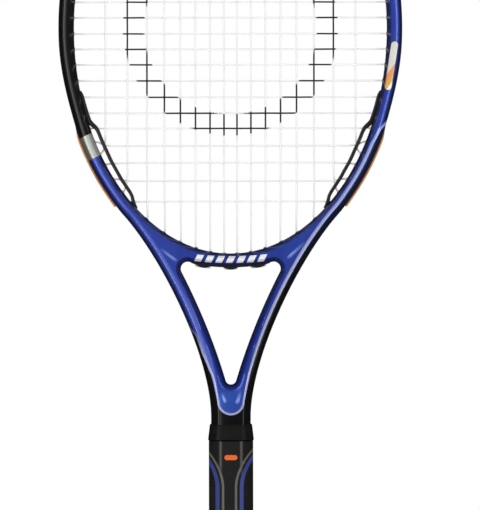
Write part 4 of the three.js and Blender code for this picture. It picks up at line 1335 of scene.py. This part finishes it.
def grip_leather():
    """Black pebbled sleeve with its piping and inlays, a painted highlight along the octagon's top
    edges, and a small orange badge on the front."""
    sleeve_black, sleeve_scuff = (0.0075, 0.0070, 0.0066), (0.013, 0.012, 0.012)
    inlay_blue, piping_grey = (0.036, 0.052, 0.24), (0.120, 0.112, 0.098)
    edge_highlight_grey, badge_orange = (0.085, 0.075, 0.070), (0.75, 0.13, 0.02)
    sweep_start, sweep_rate, middle_shift = 0.150, 15.0, 0.0011
    piping_place, piping_half_width = 0.0049, 0.0009
    inlay_place, inlay_half_width = 0.0092, 0.0015
    edge_place = 0.0079
    badge_height, badge_half_length, badge_radius = 0.1735, 0.0030, 0.0019
    material, tree, shader = new_material("fitted_grip")
    place, x, y, z = object_axes(tree)
    height, scuffs = grain_node(tree, place, 520, 40)

    climb = math_node(tree, "MAXIMUM", math_node(tree, "SUBTRACT", z, sweep_start), 0.0)
    sweep = math_node(tree, "MULTIPLY", math_node(tree, "MULTIPLY", climb, climb), sweep_rate)
    from_middle = math_node(tree, "ABSOLUTE", math_node(tree, "ADD", x, middle_shift))
    side_place = math_node(tree, "SUBTRACT", from_middle, sweep)
    piping = within(tree, side_place, piping_place, piping_half_width)
    inlay = within(tree, side_place, inlay_place, inlay_half_width)
    tint = mix_colour(tree, scuffs, sleeve_black, sleeve_scuff)
    tint = mix_colour(tree, inlay, tint, inlay_blue)
    tint = mix_colour(tree, piping, tint, piping_grey)

    # Painted highlight: a grey line along the top of the octagon's front edges
    across = math_node(tree, "ABSOLUTE", x)
    from_edge = math_node(tree, "ABSOLUTE", math_node(tree, "SUBTRACT", across, edge_place))
    painted_edge_highlight = math_node(
        tree, "MULTIPLY", ramp_node(tree, from_edge, 0.0003, 0.0014, 1.0, 0.0),
        ramp_node(tree, z, 0.160, 0.168),
    )
    tint = mix_colour(tree, painted_edge_highlight, tint, edge_highlight_grey)
    past_bar = math_node(
        tree, "MAXIMUM", math_node(tree, "SUBTRACT", across, badge_half_length), 0.0
    )
    badge_reach = length_node(tree, past_bar, math_node(tree, "SUBTRACT", z, badge_height))
    badge = math_node(
        tree, "MULTIPLY", math_node(tree, "LESS_THAN", badge_reach, badge_radius),
        math_node(tree, "LESS_THAN", y, 0.0),
    )
    tint = mix_colour(tree, badge, tint, badge_orange)
    tree.links.new(tint, shader.inputs["Base Color"])

    trim = math_node(tree, "MAXIMUM", piping, inlay)
    rough = ramp_node(tree, height, 0.2, 0.8, 0.50, 0.66)
    tree.links.new(math_node(tree, "MULTIPLY_ADD", trim, -0.14, rough), shader.inputs["Roughness"])
    shader.inputs["Specular IOR Level"].default_value = 0.3
    pebble = tree.nodes.new("ShaderNodeTexVoronoi")
    pebble.inputs["Scale"].default_value = 900
    tree.links.new(place, pebble.inputs["Vector"])
    raised = math_node(tree, "MULTIPLY_ADD", trim, 0.8, pebble.outputs["Distance"])
    tree.links.new(bump_node(tree, raised, 0.00022, 0.6), shader.inputs["Normal"])
    return material


grip_stations = []
for step in range(grip_steps):
    height = grip_bottom + (grip_top - grip_bottom) * step / grip_steps
    grip_stations.append(
        (grip_thickness + between(height, grip_bottom, flare_top, grip_flare, 0), height)
    )
grip_stations += [
    (grip_thickness, grip_top - grip_lip), (grip_thickness - grip_lip, grip_top), (0, grip_top),
    (0, grip_inner_low), (grip_flare, grip_bottom),
]
grip = closed_shell(
    "fitted_grip",
    octagon_rings(
        grip_stations, pallet_half_width + seat, pallet_half_depth + seat, grip_face_share,
        grip_corner_radius,
    ),
    grip_leather(),
)
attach(grip, "racket")
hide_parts("grip_sleeve")

# Tape and collar: the adhesive tape that ends the grip, and the tapered rubber collar that slides
# down over it.
shaft_face_share = 0.58
tape_thickness = 0.0006
tape_corner_radius = 0.0015
collar_thickness = 0.0011
collar_taper = 0.0012
collar_corner_radius = 0.0022
tape_low, tape_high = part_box("finishing_tape")[0].z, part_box("finishing_tape")[1].z
collar_low, collar_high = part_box("collar")[0].z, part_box("collar")[1].z
tape_black = moulded_plastic(
    "finishing_tape", (0.014, 0.014, 0.015), 2200, 0.00003, 0.55, 0.4, (0.03, 0.03, 0.03)
)
collar_black = moulded_plastic(
    "collar_rubber", (0.005, 0.005, 0.0048), 1600, 0.00004, 0.46, 0.3, (0.010, 0.010, 0.010),
    specular=0.2,
)
tape_stations = [
    (seat + tape_thickness, tape_low), (seat + tape_thickness, tape_high), (seat, tape_high),
    (seat, tape_low),
]
tape = closed_shell(
    "finishing_tape_band",
    octagon_rings(
        tape_stations, shaft_half_width, shaft_half_depth, shaft_face_share, tape_corner_radius
    ),
    tape_black,
)
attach(tape, "racket")
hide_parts("finishing_tape")
cavity = 2 * seat + tape_thickness
outer = cavity + collar_thickness
collar_stations = [
    (outer - 0.0005, collar_low), (outer, collar_low + 0.0005), (outer, collar_low + 0.0012),
    (outer - collar_taper, collar_high - 0.0008), (outer - collar_taper - 0.0004, collar_high),
    (seat, collar_high), (seat, tape_high + seat), (cavity, tape_high + seat), (cavity, collar_low),
]
collar = closed_shell(
    "collar_ring",
    octagon_rings(
        collar_stations, shaft_half_width, shaft_half_depth, shaft_face_share, collar_corner_radius
    ),
    collar_black,
)
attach(collar, "collar")
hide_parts("collar")

# Butt cap and door: a moulded black cap under the grip's flared end, stapled through its skirt,
# and a small door that snaps out of its end face.
cap_wall = 0.0013
cap_skirt_top = 0.025
cap_floor = 0.0082
cap_lip = 0.0052
cap_lip_proud = 0.0013
cap_round = 0.0012
cap_corner_radius = 0.003
cap_spread = grip_thickness + grip_flare - seat
cap_rim = cap_spread + cap_lip_proud
staple_height = 0.017
staple_wire = 0.0007
door_half_width, door_half_depth = 0.009, 0.0062
door_corner_radius = 0.001
door_ledge = 0.0018
door_thickness = 0.002
cap_black = moulded_plastic(
    "cap_plastic", (0.011, 0.011, 0.012), 1300, 0.00004, 0.40, 0.6, (0.05, 0.05, 0.05)
)
cap_outside = [
    (cap_spread - cap_round, 0), (cap_spread - cap_round * 0.1, 0.0002),
    (cap_spread + cap_lip_proud * 0.6, cap_round * 0.45), (cap_rim, cap_round),
    (cap_rim, cap_lip - cap_round * 0.5),
    (cap_spread + cap_lip_proud * 0.85, cap_lip - cap_round * 0.2),
    (cap_spread + cap_lip_proud * 0.5, cap_lip), (grip_flare - seat, cap_lip),
    (0, staple_height - staple_wire - seat), (0, cap_skirt_top), (-cap_wall, cap_skirt_top),
    (-cap_wall, cap_floor),
]
cap_opening = [
    (-door_ledge, cap_floor), (-door_ledge, door_thickness + seat), (seat, door_thickness + seat),
    (seat, 0.0004), (seat + 0.0004, 0),
]
cap = closed_shell(
    "butt_cap_moulding",
    octagon_rings(
        cap_outside, pallet_half_width, pallet_half_depth, grip_face_share, cap_corner_radius
    ) + octagon_rings(
        cap_opening, door_half_width, door_half_depth, grip_face_share, door_corner_radius
    ),
    cap_black, crease=35,
)
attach(cap, "racket")
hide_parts("butt_cap")
plug_inset = door_ledge + seat
door_stations = [
    (-0.0012, 0), (-0.0006, 0.0001), (0, 0.0006), (0, door_thickness),
    (-plug_inset, door_thickness), (-plug_inset, cap_floor - seat),
]
door_mesh = bmesh.new()
capped_rings(door_mesh, octagon_rings(
    door_stations, door_half_width, door_half_depth, grip_face_share, door_corner_radius
))
door = finished("butt_cap_door_moulding", door_mesh, cap_black, crease=35)
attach(door, "door")
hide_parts("butt_cap_door")


# Handle pallets and staples: foam halves moulded round the core, and steel staples through the
# cap's skirt. They keep their solids and get their finish here.
def steel_wire():
    material, tree, shader = new_material("staple_steel")
    height, scuffs = grain_node(tree, object_axes(tree)[0], 2600, 300)
    tint = mix_colour(tree, scuffs, (0.46, 0.46, 0.47), (0.30, 0.30, 0.31))
    tree.links.new(tint, shader.inputs["Base Color"])
    tree.links.new(ramp_node(tree, height, 0.2, 0.8, 0.24, 0.40), shader.inputs["Roughness"])
    shader.inputs["Metallic"].default_value = 1.0
    return material


pallet_foam = moulded_plastic(
    "pallet_foam", (0.42, 0.36, 0.26), 700, 0.0002, 0.85, 0.5, (0.34, 0.29, 0.21)
)
staple_steel = steel_wire()
for node, material in (
    ("pallet_front", pallet_foam), ("pallet_back", pallet_foam),
    ("staple_front", staple_steel), ("staple_back", staple_steel),
):
    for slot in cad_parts[node].material_slots:
        slot.material = material
